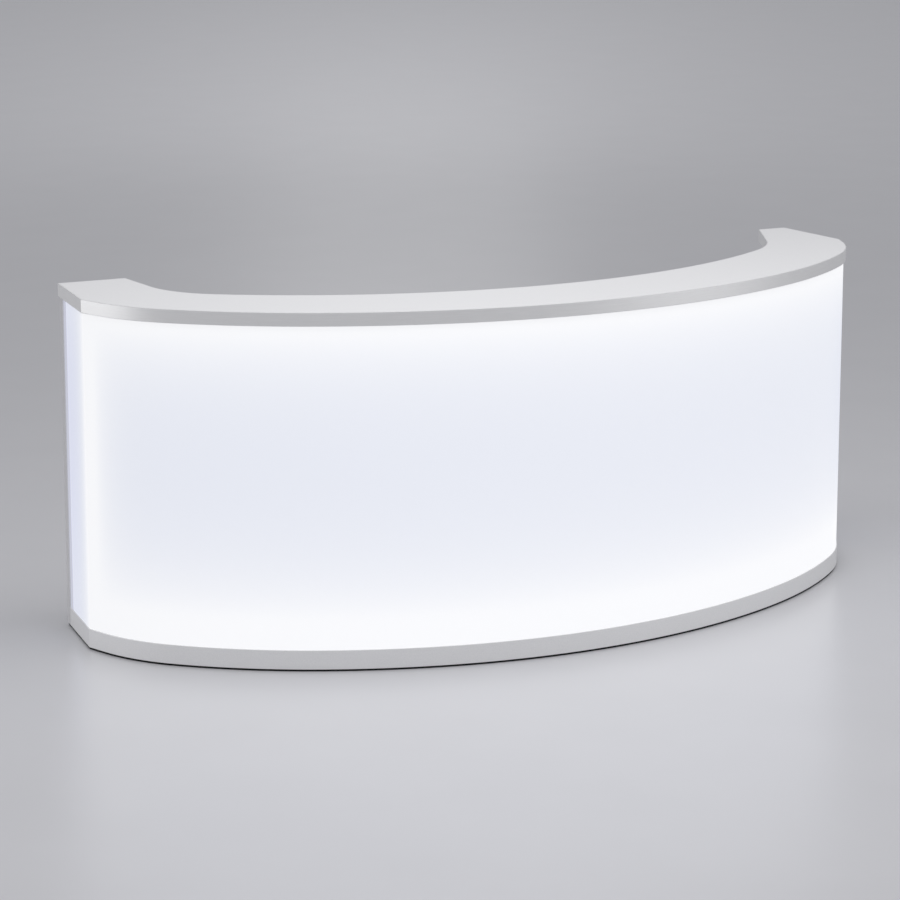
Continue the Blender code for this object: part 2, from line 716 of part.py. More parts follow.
def add_leaf(name, step, level, knuckles, origin):
    """One hinge leaf: a plate on its panel, tabs that reach under the barrel, and bored knuckles."""
    frame = leaf_frame(step)
    axis = hinge_frame()
    half = HINGE_LEAF_HEIGHT / 2 - TAB_TRIM
    back = SEAT_GAP
    face = SEAT_GAP + HINGE_LEAF_THICKNESS
    clear_x = HINGE_BARREL_RADIUS + 2 * KNUCKLE_GAP
    low = (-step * clear_x, level - half, back)
    high = (-step * HINGE_LEAF_WIDTH, level + half, face)
    leaf = add_object(name, block(frame, low, high), "steel", origin)
    for bottom, top in knuckles:
        tab_low = (-step * KNUCKLE_GAP, bottom + 2 * TAB_TRIM, back + TAB_TRIM)
        tab_high = (-step * (clear_x + HINGE_LEAF_THICKNESS), top - 2 * TAB_TRIM, face - TAB_TRIM)
        combine(leaf, block(frame, tab_low, tab_high), "UNION")
        combine(leaf, drum(axis, HINGE_BARREL_RADIUS, bottom, top, HINGE_SIDES), "UNION")
    bore_radius = HINGE_PIN_RADIUS + BORE_CLEARANCE
    bore = drum(axis, bore_radius, level - HINGE_LEAF_HEIGHT, level + HINGE_LEAF_HEIGHT, HINGE_SIDES)
    combine(leaf, bore, "DIFFERENCE")


def add_hinges():
    """Two surface hinges on the door's left edge, each with a panel leaf, a door leaf and a headed pin."""
    axis = hinge_frame()
    origin = axis.translation
    third = HINGE_LEAF_HEIGHT / 3
    levels = (DOOR_BOTTOM + HINGE_FROM_DOOR_END, DOOR_TOP - HINGE_FROM_DOOR_END)
    for word, level in zip(("lower", "upper"), levels):
        bottom = level - HINGE_LEAF_HEIGHT / 2
        top = level + HINGE_LEAF_HEIGHT / 2
        outer = [(bottom, bottom + third), (top - third, top)]
        middle = [(bottom + third + KNUCKLE_GAP, top - third - KNUCKLE_GAP)]
        add_leaf(word + "_hinge_panel_leaf", -1, level, outer, (0.0, 0.0, 0.0))
        add_leaf(word + "_hinge_door_leaf", 1, level, middle, origin)
        head = top + SEAT_GAP
        shank = drum(axis, HINGE_PIN_RADIUS, bottom, head + HINGE_PIN_HEAD / 2, HINGE_SIDES)
        pin = add_object(word + "_hinge_pin", shank, "steel")
        combine(pin, drum(axis, HINGE_PIN_HEAD_RADIUS, head, head + HINGE_PIN_HEAD, HINGE_SIDES), "UNION")


def add_knob():
    """Quarter-turn knob: disc and grip on the staff side, spindle through the door, and a cam behind it."""
    frame = knob_frame()
    cam_back = -PANEL - CAM_STANDOFF - CAM_THICKNESS
    disc = drum(frame, KNOB_RADIUS, SEAT_GAP, SEAT_GAP + KNOB_DISC, ROUND_SIDES)
    knob = add_object("door_knob", disc, "steel", frame.translation)
    spindle = drum(frame, SPINDLE_RADIUS, cam_back + CAM_THICKNESS / 2, KNOB_DISC / 2, ROUND_SIDES)
    combine(knob, spindle, "UNION")
    grip_low = (-KNOB_GRIP_WIDTH / 2, -KNOB_GRIP_LENGTH / 2, KNOB_DISC / 2)
    grip_high = (KNOB_GRIP_WIDTH / 2, KNOB_GRIP_LENGTH / 2, KNOB_DISC + KNOB_GRIP_RISE)
    combine(knob, block(frame, grip_low, grip_high), "UNION")
    cam_low = (-CAM_WIDTH / 2, -CAM_WIDTH / 2, cam_back)
    cam_high = (CAM_WIDTH / 2, CAM_REACH, cam_back + CAM_THICKNESS)
    combine(knob, block(frame, cam_low, cam_high), "UNION")


def add_inlet():
    """Mains inlet set in the left rear panel: a flanged housing with a pin socket below a rocker well."""
    frame = inlet_frame()
    half_x = INLET_PLATE_WIDTH / 2
    half_y = INLET_PLATE_RISE / 2
    plate_top = SEAT_GAP + INLET_PLATE_THICKNESS
    plate = block(frame, (-half_x, -half_y, SEAT_GAP), (half_x, half_y, plate_top))
    housing = add_object("inlet_housing", plate, "black_plastic")
    half_x = INLET_BODY_WIDTH / 2
    half_y = INLET_BODY_RISE / 2
    body_face = plate_top - INLET_PLATE_THICKNESS / 2
    body = block(frame, (-half_x, -half_y, -INLET_BODY_DEPTH), (half_x, half_y, body_face))
    combine(housing, body, "UNION")
    socket_y = -INLET_BODY_RISE / 4
    socket_floor = plate_top - SOCKET_DEPTH
    low = (-SOCKET_WIDTH / 2, socket_y - SOCKET_RISE / 2, socket_floor)
    high = (SOCKET_WIDTH / 2, socket_y + SOCKET_RISE / 2, plate_top + PANEL)
    combine(housing, block(frame, low, high), "DIFFERENCE")
    for column in (-1, 0, 1):
        centre_x = column * PIN_PITCH
        centre_y = socket_y + (PIN_RISE / 2 if column == 0 else 0.0)
        low = (centre_x - PIN_WIDTH / 2, centre_y - PIN_RISE / 2, socket_floor - PIN_WIDTH)
        high = (centre_x + PIN_WIDTH / 2, centre_y + PIN_RISE / 2, socket_floor + PIN_LENGTH)
        combine(housing, block(frame, low, high), "UNION")
    well_y = INLET_BODY_RISE / 4
    well_x = ROCKER_WIDTH / 2 + SEAT_GAP
    well_rise = ROCKER_RISE / 2 + ROCKER_CLEARANCE
    swing = ROCKER_RISE / 2 * math.sin(2 * ROCKER_TILT)
    well_floor = plate_top - ROCKER_DEPTH - swing
    low = (-well_x, well_y - well_rise, well_floor)
    high = (well_x, well_y + well_rise, plate_top + PANEL)
    combine(housing, block(frame, low, high), "DIFFERENCE")
    add_rocker(frame, well_y, plate_top)


def add_rocker(frame, well_y, plate_top):
    """Rocker of the mains switch, pressed in at its top at rest, its origin on its tilt axis."""
    pivot = frame @ Matrix.Translation((0.0, well_y, plate_top - ROCKER_DEPTH / 2))
    tilted = pivot @ Matrix.Rotation(-ROCKER_TILT, 4, "X")
    half_x = ROCKER_WIDTH / 2
    half_y = ROCKER_RISE / 2
    low = (-half_x, -half_y, -ROCKER_DEPTH / 2)
    high = (half_x, half_y, ROCKER_DEPTH / 2 + ROCKER_PROUD)
    add_object("rocker_switch", block(tilted, low, high), "black_plastic", pivot.translation)


def channel_section(low, floor, rise):
    """Section of a light channel, as insets and levels, that opens toward the side its walls rise to."""
    a = LED_SETBACK
    b = LED_SETBACK + LED_CHANNEL_WIDTH
    wall = LED_CHANNEL_WALL
    return [
        (a, low),
        (b, low),
        (b, low + rise),
        (b - wall, low + rise),
        (b - wall, low + floor),
        (a + wall, low + floor),
        (a + wall, low + rise),
        (a, low + rise),
    ]


def light_line(inset):
    """The front line at a setback, as far as the bends, past which the corner bars give the light."""
    bow_and_shoulders = outline(front=inset)["front"][FRONT_END_STEPS:-FRONT_END_STEPS]
    return ends_trimmed(bow_and_shoulders, LED_END_SETBACK, LED_END_SETBACK)


def add_light_lines():
    """A light channel and its strip along the foot of the front, and the same pair under the lid."""
    near = LED_SETBACK + LED_CHANNEL_WALL + LED_STRIP_SIDE_GAP
    far = LED_SETBACK + LED_CHANNEL_WIDTH - LED_CHANNEL_WALL - LED_STRIP_SIDE_GAP
    for word, seat, turn in (("lower", DECK_TOP + SEAT_GAP, 1), ("upper", LID_BOTTOM - SEAT_GAP, -1)):
        section = channel_section(seat, turn * LED_CHANNEL_WALL, turn * LED_CHANNEL_DEPTH)
        rails = [at_level(light_line(inset), z) for inset, z in section]
        add_object(word + "_light_channel", loft(rails), "aluminium")
        first = seat + turn * (LED_CHANNEL_WALL + SEAT_GAP)
        second = first + turn * LED_STRIP_THICKNESS
        strip = board(light_line(near), light_line(far), min(first, second), max(first, second))
        add_object(word + "_light_strip", strip, "led_strip")


def add_corner_lights():
    """Upright bar behind each front corner, with a light strip on the side that faces the corner."""
    plan = outline(front=CORNER_BAR_SETBACK, ends=CORNER_BAR_SETBACK)
    for word, index in (("left", 0), ("right", -1)):
        corner = plan["front"][index]
        outer = outline()["front"][index]
        toward = outer - corner
        frame = frame_at((corner.x, corner.y, 0.0), (toward.x, toward.y, 0.0), (0.0, 0.0, 1.0))
        half = CORNER_BAR / 2
        bar = block(frame, (-half, -half, RIB_BOTTOM), (half, half, RIB_TOP))
        add_object(word + "_corner_bar", bar, "aluminium")
        low = (half + SEAT_GAP, -CORNER_STRIP_WIDTH / 2, RIB_BOTTOM)
        high = (half + SEAT_GAP + LED_STRIP_THICKNESS, CORNER_STRIP_WIDTH / 2, RIB_TOP)
        add_object(word + "_corner_light_strip", block(frame, low, high), "led_strip")


def add_driver():
    """Supply for the lights on the base deck, a case on a flanged foot plate."""
    centre = Vector((0.0, FRONT_Y + DRIVER_SETBACK + DRIVER_WIDTH / 2, DECK_TOP + SEAT_GAP))
    frame = Matrix.Translation(centre)
    half_x = DRIVER_LENGTH / 2
    half_y = DRIVER_WIDTH / 2
    reach = half_x + DRIVER_FLANGE
    foot = block(frame, (-reach, -half_y, 0.0), (reach, half_y, DRIVER_FLANGE_THICKNESS))
    driver = add_object("light_driver", foot, "driver_case")
    half_y = DRIVER_CASE_WIDTH / 2
    case = block(frame, (-half_x, -half_y, DRIVER_FLANGE_THICKNESS / 2), (half_x, half_y, DRIVER_HEIGHT))
    combine(driver, case, "UNION")


def main():
    """Builds every piece of the counter."""
    clear_scene()
    add_worktop()
    add_decks()
    add_floor_strip()
    add_plinth()
    add_diffusers()
    add_ledge()
    add_rear_uprights()
    add_rear_panels()
    add_back_panels()
    add_ribs()
    add_service_door()
    add_hinges()
    add_knob()
    add_inlet()
    add_light_lines()
    add_corner_lights()
    add_driver()


main()
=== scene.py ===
# %% [markdown]
# A bowed reception counter that is lit from inside: a silver slab above, a silver plinth below, and
# between them a sheet of opal acrylic that glows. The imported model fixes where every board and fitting
# is. This lesson gives those pieces true curves, eased edges, small fixings and surfaces, and then sets
# up the floor, the light and the camera.

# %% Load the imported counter
import json
import math

import bmesh
import bpy
from mathutils import Matrix, Vector


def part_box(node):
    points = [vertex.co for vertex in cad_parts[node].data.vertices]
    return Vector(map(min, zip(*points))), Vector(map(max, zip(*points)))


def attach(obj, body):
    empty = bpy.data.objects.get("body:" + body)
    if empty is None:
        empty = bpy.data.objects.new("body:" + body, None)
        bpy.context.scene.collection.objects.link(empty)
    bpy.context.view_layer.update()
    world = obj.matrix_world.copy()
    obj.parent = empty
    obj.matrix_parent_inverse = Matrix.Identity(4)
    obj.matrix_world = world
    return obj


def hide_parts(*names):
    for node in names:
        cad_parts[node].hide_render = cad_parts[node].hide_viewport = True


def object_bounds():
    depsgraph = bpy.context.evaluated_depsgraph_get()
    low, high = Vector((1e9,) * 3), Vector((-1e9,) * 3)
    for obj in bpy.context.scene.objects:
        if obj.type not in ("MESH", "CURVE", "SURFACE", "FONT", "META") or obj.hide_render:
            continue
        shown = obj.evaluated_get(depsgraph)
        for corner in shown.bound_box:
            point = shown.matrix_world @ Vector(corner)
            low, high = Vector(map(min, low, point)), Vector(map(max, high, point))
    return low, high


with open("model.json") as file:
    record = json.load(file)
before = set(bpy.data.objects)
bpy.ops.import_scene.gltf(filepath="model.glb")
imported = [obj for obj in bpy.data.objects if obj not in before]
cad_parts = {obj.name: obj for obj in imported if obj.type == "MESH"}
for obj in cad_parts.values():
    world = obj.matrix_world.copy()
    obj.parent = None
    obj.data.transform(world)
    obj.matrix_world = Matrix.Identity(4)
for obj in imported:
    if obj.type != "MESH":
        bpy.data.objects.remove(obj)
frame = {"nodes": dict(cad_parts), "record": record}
cad_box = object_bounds()
mm = 0.001
print("packed pieces:", len(frame["nodes"]), "size in metres:", [round(b - a, 3) for a, b in zip(*cad_box)])

# %% [markdown]
# The photograph looks down on the counter's left front from a little above head height, through a long
# lens. Its upright edges stay almost parallel, which a photographer gets by shifting the lens instead
# of tilting the camera; a small shift is enough here. The place, the turn and the lens were solved from
# the corners of the slab and the plinth.

# %% Camera
IMAGE_SIDE = 900
FOCAL_PIXELS = 2795.7
SENSOR_WIDTH = 36.0
LENS_SHIFT = -0.15
SEEN_AS_FAR_AS = 400.0
CAMERA_PLACE = (-3.9595, -7.7748, 2.5813)
CAMERA_YAW = math.radians(25.713)
CAMERA_PITCH = math.radians(10.431)

lens = bpy.data.cameras.new("counter_camera")
lens.sensor_width = SENSOR_WIDTH
lens.lens = FOCAL_PIXELS * SENSOR_WIDTH / IMAGE_SIDE
lens.shift_y = LENS_SHIFT
lens.clip_end = SEEN_AS_FAR_AS
camera = bpy.data.objects.new("counter_camera", lens)
camera.location = CAMERA_PLACE
camera.rotation_euler = (math.pi / 2 - CAMERA_PITCH, 0.0, -CAMERA_YAW)
bpy.context.scene.collection.objects.link(camera)
bpy.context.scene.camera = camera
print("lens in millimetres:", round(lens.lens, 1))

# %% [markdown]
# Colours are written as they look on a screen, as sRGB hex, and Blender wants linear light, so one
# function turns one into the other. A second one adds a shader node: it sets the node's options, fills
# its sockets, and links a socket when it is given another node's output.

# %% Colour and node helpers
def linear(code):
    """An sRGB hex colour, such as D8D8DA, in linear light with full alpha."""
    parts = [int(code[i : i + 2], 16) / 255 for i in (0, 2, 4)]
    return (*[p / 12.92 if p <= 0.04045 else ((p + 0.055) / 1.055) ** 2.4 for p in parts], 1.0)


def add(tree, kind, sockets, **options):
    """Adds a node with its options, and sets or links its sockets."""
    node = tree.nodes.new("ShaderNode" + kind)
    for name, value in options.items():
        setattr(node, name, value)
    for name, value in sockets.items():
        if isinstance(value, bpy.types.NodeSocket):
            tree.links.new(value, node.inputs[name])
        else:
            node.inputs[name].default_value = value
    return node


def start_material(name, roughness, metallic=0.0, ior=None):
    """A material with a Principled shader; gives it with its node tree and shader."""
    material = bpy.data.materials.new(name)
    material.use_nodes = True
    shader = material.node_tree.nodes["Principled BSDF"]
    shader.inputs["Roughness"].default_value = roughness
    shader.inputs["Metallic"].default_value = metallic
    if ior is not None:
        shader.inputs["IOR"].default_value = ior
    return material, material.node_tree, shader


def set_ramp(node, stops):
    """Fills a colour ramp with positions and hex colours."""
    elements = node.color_ramp.elements
    while len(elements) < len(stops):
        elements.new(0.5)
    for element, (position, code) in zip(elements, stops):
        element.position = position
        element.color = linear(code)


print("mid grey is", [round(c, 3) for c in linear("808080")])

# %% [markdown]
# Most sheet goods here share one recipe: a colour that wavers a little between two near tones, a
# roughness that wavers with it, and a fine relief from the plate that pressed the surface. The size of
# the pattern is given in millimetres, and `stretch` draws it out along an axis for rolled, drawn or
# brushed surfaces.

# %% A grained finish
GRAIN_LOW, GRAIN_HIGH = 0.3, 0.7
GRAIN_DETAIL = 3.0
RELIEF_STRENGTH = 0.6


def grained(
    name,
    tones,
    roughness,
    grain_mm,
    relief_mm,
    metallic=0.0,
    ior=None,
    stretch=(1, 1, 1),
    waver=0.08,
):
    """A surface whose tone, roughness and fine relief follow one noise of a real grain size."""
    material, tree, shader = start_material(name, roughness, metallic, ior)
    place = add(tree, "TexCoord", {})
    drawn = add(tree, "Mapping", {"Vector": place.outputs["Object"], "Scale": stretch})
    grain = {"Vector": drawn.outputs["Vector"], "Scale": 1 / (grain_mm * mm), "Detail": GRAIN_DETAIL}
    noise = add(tree, "TexNoise", grain)
    tone = add(tree, "ValToRGB", {"Fac": noise.outputs["Fac"]})
    set_ramp(tone, list(zip((GRAIN_LOW, GRAIN_HIGH), tones)))
    span = {"To Min": roughness - waver, "To Max": roughness + waver}
    rough = add(tree, "MapRange", {"Value": noise.outputs["Fac"], **span})
    relief = {"Height": noise.outputs["Fac"], "Distance": relief_mm * mm, "Strength": RELIEF_STRENGTH}
    bump = add(tree, "Bump", relief)
    tree.links.new(tone.outputs["Color"], shader.inputs["Base Color"])
    tree.links.new(rough.outputs["Result"], shader.inputs["Roughness"])
    tree.links.new(bump.outputs["Normal"], shader.inputs["Normal"])
    return material


print("grain tones lie between", GRAIN_LOW, "and", GRAIN_HIGH, "of the noise")

# %% [markdown]
# The slab and the plinth are board faced with high-pressure laminate in pale silver. It is printed
# paper under melamine resin, pressed against a satin steel plate, so it has a soft sheen and a pearl
# fleck of about 1 mm, drawn here at 3 mm so that it shows. The plinth's laminate and the slab's extruded
# edging carry aluminium flake, which makes them mirror softly and gives them darker faces and bright
# rounded edges. The edging's faint lines run along it, so its noise is fine across the height.

# %% Silver laminates and edging
EDGING_FLAKE = 0.5
PLINTH_FLAKE = 0.3
EDGING_LINES = (1, 1, 60)

# Satin and nearly white: the slab's top takes an even light from above.
silver_laminate = grained(
    "pressed_silver_laminate", ("D8D8DA", "DEDEDE"), roughness=0.42, grain_mm=3.0, relief_mm=0.02, ior=1.5
)
# The flake mirrors the floor a little, so the plinth looks greyer than the slab.
plinth_laminate = grained(
    "pressed_flake_laminate",
    ("E6E6E7", "EDEDED"),
    roughness=0.42,
    grain_mm=3.0,
    relief_mm=0.02,
    metallic=PLINTH_FLAKE,
    ior=1.5,
)
# More flake, and lines of about 1 mm across the height: tone runs along the edge like a soft mirror.
silver_edging = grained(
    "extruded_flake_abs",
    ("E8E8E8", "EEEEEE"),
    roughness=0.42,
    grain_mm=60.0,
    relief_mm=0.02,
    metallic=EDGING_FLAKE,
    ior=1.53,
    stretch=EDGING_LINES,
)
print("silver finishes:", silver_laminate.name, plinth_laminate.name, silver_edging.name)

# %% [markdown]
# Opal acrylic is cast with a white filler that scatters light, so lamps behind it show only as broad
# soft bands. What reaches the eye is the light that comes through plus the room's light on its satin
# skin. Tracing lamps through the sheet would be slow and noisy, so the light through it is worked out
# in the mesh, from the distance to each line of lamps, and stored as `glow`. The shader turns that level
# into a colour: bluish where it is dim and white where a lamp line is near.

# %% Opal acrylic
GLOW_TONES = ((0.0, "A1A3AF"), (0.2, "BABDCE"), (0.45, "C6C9D1"), (1.0, "DEDEDE"))
OPAL_BODY = "9C9EA4"
OPAL_SATIN = (0.34, 0.42)
OPAL_HAZE_MM = 40.0


def make_opal():
    """Cast opal acrylic that shines by the level stored in the mesh."""
    material, tree, shader = start_material("cast_opal_acrylic", sum(OPAL_SATIN) / 2, ior=1.49)
    shader.inputs["Base Color"].default_value = linear(OPAL_BODY)
    level = add(tree, "Attribute", {}, attribute_name="glow")
    light = add(tree, "ValToRGB", {"Fac": level.outputs["Fac"]})
    set_ramp(light, GLOW_TONES)
    tree.links.new(light.outputs["Color"], shader.inputs["Emission Color"])
    shader.inputs["Emission Strength"].default_value = 1.0
    place = add(tree, "TexCoord", {})
    cloud = {"Vector": place.outputs["Object"], "Scale": 1 / (OPAL_HAZE_MM * mm), "Detail": 2.0}
    haze = add(tree, "TexNoise", cloud)
    satin = {"Value": haze.outputs["Fac"], "To Min": OPAL_SATIN[0], "To Max": OPAL_SATIN[1]}
    skin = add(tree, "MapRange", satin)
    tree.links.new(skin.outputs["Result"], shader.inputs["Roughness"])
    return material


opal_acrylic = make_opal()
print("opal levels:", GLOW_TONES)

# %% [markdown]
# The staff side and the inside are plainer: laminate and melamine on the boards, rubber at the foot,
# moulded plastic on the mains fittings and the lamp supply. All are pressed, extruded or moulded, so the
# same recipe serves, with a coarser or finer grain. Stipple and spark texture are finer than 1 mm on the
# real things and are drawn coarser so that they show.

# %% Board, rubber and plastic finishes
# The stipple of the pressing plate breaks up glare, so the panels look matt.
staff_laminate = grained(
    "stippled_grey_laminate", ("BDBDC0", "C4C4C6"), roughness=0.52, grain_mm=2.5, relief_mm=0.05, ior=1.5
)
# Plain melamine paper on chipboard: a flat, warm white.
white_board = grained(
    "white_melamine_board", ("E2E2DF", "E8E8E6"), roughness=0.55, grain_mm=2.0, relief_mm=0.03, ior=1.5
)
# Carbon black takes nearly all the light, so the strip reads as a dark line.
rubber = grained(
    "extruded_black_rubber", ("121213", "1C1C1D"), roughness=0.80, grain_mm=1.5, relief_mm=0.05, ior=1.52
)
# A spark-textured mould leaves a dull black with a grey sheen on its edges.
black_plastic = grained(
    "moulded_black_nylon", ("161617", "202022"), roughness=0.48, grain_mm=0.8, relief_mm=0.03, ior=1.53
)
# A smoother mould: pale and slightly shiny.
driver_case = grained(
    "moulded_grey_polycarbonate", ("D0D0CC", "D8D8D4"), roughness=0.50, grain_mm=0.9, relief_mm=0.03, ior=1.58
)
# White solder mask over copper: even, with the weave of the board just under it.
lamp_tape = grained(
    "white_lamp_tape", ("E4E6EA", "EEF0F4"), roughness=0.50, grain_mm=1.5, relief_mm=0.02, ior=1.5
)
# Phosphor in silicone: yellow, with the soft sheen of a gel.
phosphor = grained(
    "yellow_lamp_phosphor", ("E8D98A", "F0E3A0"), roughness=0.45, grain_mm=0.6, relief_mm=0.02, ior=1.45
)
print("matt finishes:", staff_laminate.name, white_board.name, rubber.name, black_plastic.name)

# %% [markdown]
# The metals are few: anodised channels for the lamps, zinc-plated hinges and knob, blackened screws in
# the black inlet, and nickel on its pins. A metal's colour is its reflection, so it has full metallic and
# keeps the shader's own IOR; how it was drawn or plated decides the roughness.

# %% Metal finishes
DRAWN_LINES = (1, 1, 30)

# Drawn through a die and anodised: grey, with faint lines and no sharp reflection.
aluminium = grained(
    "anodised_drawn_aluminium",
    ("C6C8CA", "CFD1D3"),
    roughness=0.34,
    grain_mm=40.0,
    relief_mm=0.01,
    metallic=1.0,
    stretch=DRAWN_LINES,
)
# Bright zinc shows the room clearly, with a cloudy spangle of a few millimetres.
steel = grained(
    "zinc_plated_steel", ("CBCED2", "DADCDE"), roughness=0.27, grain_mm=4.0, relief_mm=0.01, metallic=1.0
)
# Black oxide keeps the metal's gloss and takes away most of its light.
black_steel = grained(
    "blackened_steel", ("303032", "3C3C3E"), roughness=0.36, grain_mm=4.0, relief_mm=0.01, metallic=1.0
)
# Nickel is warmer than zinc and polished by the plug.
nickel = grained(
    "nickel_plated_brass", ("C9C4BA", "D6D1C8"), roughness=0.22, grain_mm=2.0, relief_mm=0.005, metallic=1.0
)

FINISHES = {
    "silver_laminate": silver_laminate,
    "silver_edge_band": silver_edging,
    "silver_plinth": plinth_laminate,
    "opal_acrylic": opal_acrylic,
    "white_board": white_board,
    "staff_laminate": staff_laminate,
    "aluminium": aluminium,
    "steel": steel,
    "led_strip": lamp_tape,
    "black_rubber": rubber,
    "black_plastic": black_plastic,
    "driver_case": driver_case,
}
SLOT_OF = {row["node"]: row["material_slot"] for row in frame["record"]["subparts"]}
print("finishes:", len(FINISHES), "for", len(SLOT_OF), "packed pieces")

# %% [markdown]
# Every long piece of the counter follows one plan. Its front rounds more and more toward the ends: a
# wide bow, a shoulder, a tighter bend and a short straight wing; each end then leans in a little toward
# the rear. A joiner would set it out from a few radii, so it is drawn here as arcs that run on from each
# other. The bow's and the bend's radii are solved so that the front just fills the width and the depth.

# %% Front line of the plan
HALF_WIDTH = cad_box[1][0]
FRONT_Y = cad_box[0][1]
REAR_Y = cad_box[1][1]
BOW_ANGLE = math.radians(25.5)
SHOULDER_ANGLE = math.radians(41.5)
WING_ANGLE = math.radians(68.0)
SHOULDER_RADIUS = 1.540
WING_LENGTH = 0.060
END_LENGTH = 0.309
END_SLANT = math.radians(5.0)
FRONT_STEPS = (30, 16, 20)
WING_STEPS = 4


def turn_reach(start, end):
    """How far across and back a line of unit radius goes while it turns from one heading to another."""
    return Vector((math.sin(end) - math.sin(start), math.cos(start) - math.cos(end)))


def half_curve(apex_y, radii, headings, steps):
    """Plan points from the middle of a bow out to +X, one arc after the other."""
    points = [Vector((0.0, apex_y))]
    heading = 0.0
    for radius, turn_to, count in zip(radii, headings, steps):
        start = points[-1]
        for step in range(1, count + 1):
            angle = heading + (turn_to - heading) * step / count
            points.append(start + turn_reach(heading, angle) * radius)
        heading = turn_to
    return points


def mirrored(points):
    """The same points on the other side of the middle, in reverse order."""
    return [Vector((-p.x, p.y)) for p in reversed(points)]


def front_half():
    """Bow, shoulder, bend and wing of the front, out to the right-hand end."""
    wing = Vector((math.cos(WING_ANGLE), math.sin(WING_ANGLE))) * WING_LENGTH
    depth = REAR_Y - FRONT_Y - END_LENGTH * math.cos(END_SLANT)
    rest = Vector((HALF_WIDTH, depth)) - turn_reach(BOW_ANGLE, SHOULDER_ANGLE) * SHOULDER_RADIUS - wing
    bow = turn_reach(0.0, BOW_ANGLE)
    bend = turn_reach(SHOULDER_ANGLE, WING_ANGLE)
    radii = (rest.cross(bend) / bow.cross(bend), SHOULDER_RADIUS, bow.cross(rest) / bow.cross(bend))
    points = half_curve(FRONT_Y, radii, (BOW_ANGLE, SHOULDER_ANGLE, WING_ANGLE), FRONT_STEPS)
    return points + [points[-1] + wing * step / WING_STEPS for step in range(1, WING_STEPS + 1)]


FRONT_LINE = mirrored(front_half()[1:]) + front_half()
END_LEAN = (REAR_Y - FRONT_LINE[-1].y) * math.tan(END_SLANT)
REAR_RIGHT = Vector((HALF_WIDTH - END_LEAN, REAR_Y))
REAR_LEFT = Vector((END_LEAN - HALF_WIDTH, REAR_Y))
print("points on the front line:", len(FRONT_LINE))

# %% [markdown]
# The staff side is a second bow, hollow toward the staff, with a bend and a straight return at each side.
# The left return is wider than the right one. Each bend has to touch both the bow and its return, so its
# centre is found from the two distances that this gives.

# %% Staff line of the plan
STAFF_SIDE_REACH = 0.420
STAFF_BOW_ANGLE = math.radians(33.0)
STAFF_BOW = (HALF_WIDTH - STAFF_SIDE_REACH) / math.sin(STAFF_BOW_ANGLE)
TOP_REACH = 0.310
DOOR_WIDTH = 0.620
LEFT_REAR_WIDTH = 0.222
LEFT_BEND = 0.300
LEFT_RETURN_ANGLE = math.radians(84.0)
RIGHT_REAR_WIDTH = 0.105
RIGHT_BEND = 0.420
RIGHT_RETURN_ANGLE = math.radians(64.0)
STAFF_STEPS = (12, 27, 31)


def staff_half(rear_width, bend, return_angle):
    """Bow, bend and straight return of the staff side, drawn toward +X."""
    rear_end = REAR_RIGHT - Vector((rear_width, 0.0))
    along = Vector((math.cos(return_angle), math.sin(return_angle)))
    bow_centre = Vector((0.0, FRONT_Y + TOP_REACH + STAFF_BOW))
    beside_end = rear_end + Vector((-along.y, along.x)) * bend - bow_centre
    lap = beside_end.dot(along)
    run = lap + math.sqrt(lap**2 + (STAFF_BOW - bend) ** 2 - beside_end.length_squared)
    bend_centre = beside_end - along * run
    headings = (DOOR_WIDTH / 2 / STAFF_BOW, math.atan2(bend_centre.x, -bend_centre.y), return_angle)
    points = half_curve(FRONT_Y + TOP_REACH, (STAFF_BOW, STAFF_BOW, bend), headings, STAFF_STEPS)
    return [*points, rear_end]


left_return = staff_half(LEFT_REAR_WIDTH, LEFT_BEND, LEFT_RETURN_ANGLE)
right_return = staff_half(RIGHT_REAR_WIDTH, RIGHT_BEND, RIGHT_RETURN_ANGLE)
STAFF_LINE = mirrored(left_return[1:]) + right_return
MIDDLE = len(STAFF_LINE) // 2
DOOR_LEFT = MIDDLE - STAFF_STEPS[0]
DOOR_RIGHT = MIDDLE + STAFF_STEPS[0]
print("points on the staff line:", len(STAFF_LINE))

# %% [markdown]
# Edging, sheets, plinth and strip are layers of that plan, each moved inward by its own distance, so they
# stay parallel all the way round. Moving points along their own normals would thin a layer in the bends.
# Here each straight stretch is moved, and neighbouring stretches are crossed again.

# %% Parallel layers of the plan
NEARLY_STRAIGHT = 1e-9


def crossing(first, second):
    """Where two lines meet, each given as a point and a direction. A straight run keeps its own point."""
    turn = first[1].cross(second[1])
    if abs(turn) < NEARLY_STRAIGHT:
        return second[0]
    return first[0] + first[1] * ((second[0] - first[0]).cross(second[1]) / turn)


def layer(front=0.0, ends=0.0, rear=0.0, staff=0.0):
    """The plan with each side moved inward: front and staff lines, left to right, and the rear corners."""
    sides = [
        (front, FRONT_LINE),
        (ends, [FRONT_LINE[-1], REAR_RIGHT]),
        (rear, [REAR_RIGHT, STAFF_LINE[-1]]),
        (staff, STAFF_LINE[::-1]),
        (rear, [STAFF_LINE[0], REAR_LEFT]),
        (ends, [REAR_LEFT, FRONT_LINE[0]]),
    ]
    lines = []
    for inset, points in sides:
        for near, far in zip(points, points[1:]):
            along = (far - near).normalized()
            lines.append((near + Vector((-along.y, along.x)) * inset, along))
    corners = [crossing(lines[i - 1], lines[i]) for i in range(len(lines))]
    count = len(FRONT_LINE)
    staff_end = count + 1 + len(STAFF_LINE)
    return {
        "front": corners[:count],
        "right": corners[count],
        "staff": corners[count + 1 : staff_end][::-1],
        "left": corners[staff_end],
    }


def outside(plan):
    """The left end, the front and the right end of a layer in one line."""
    return [plan["left"], *plan["front"], plan["right"]]


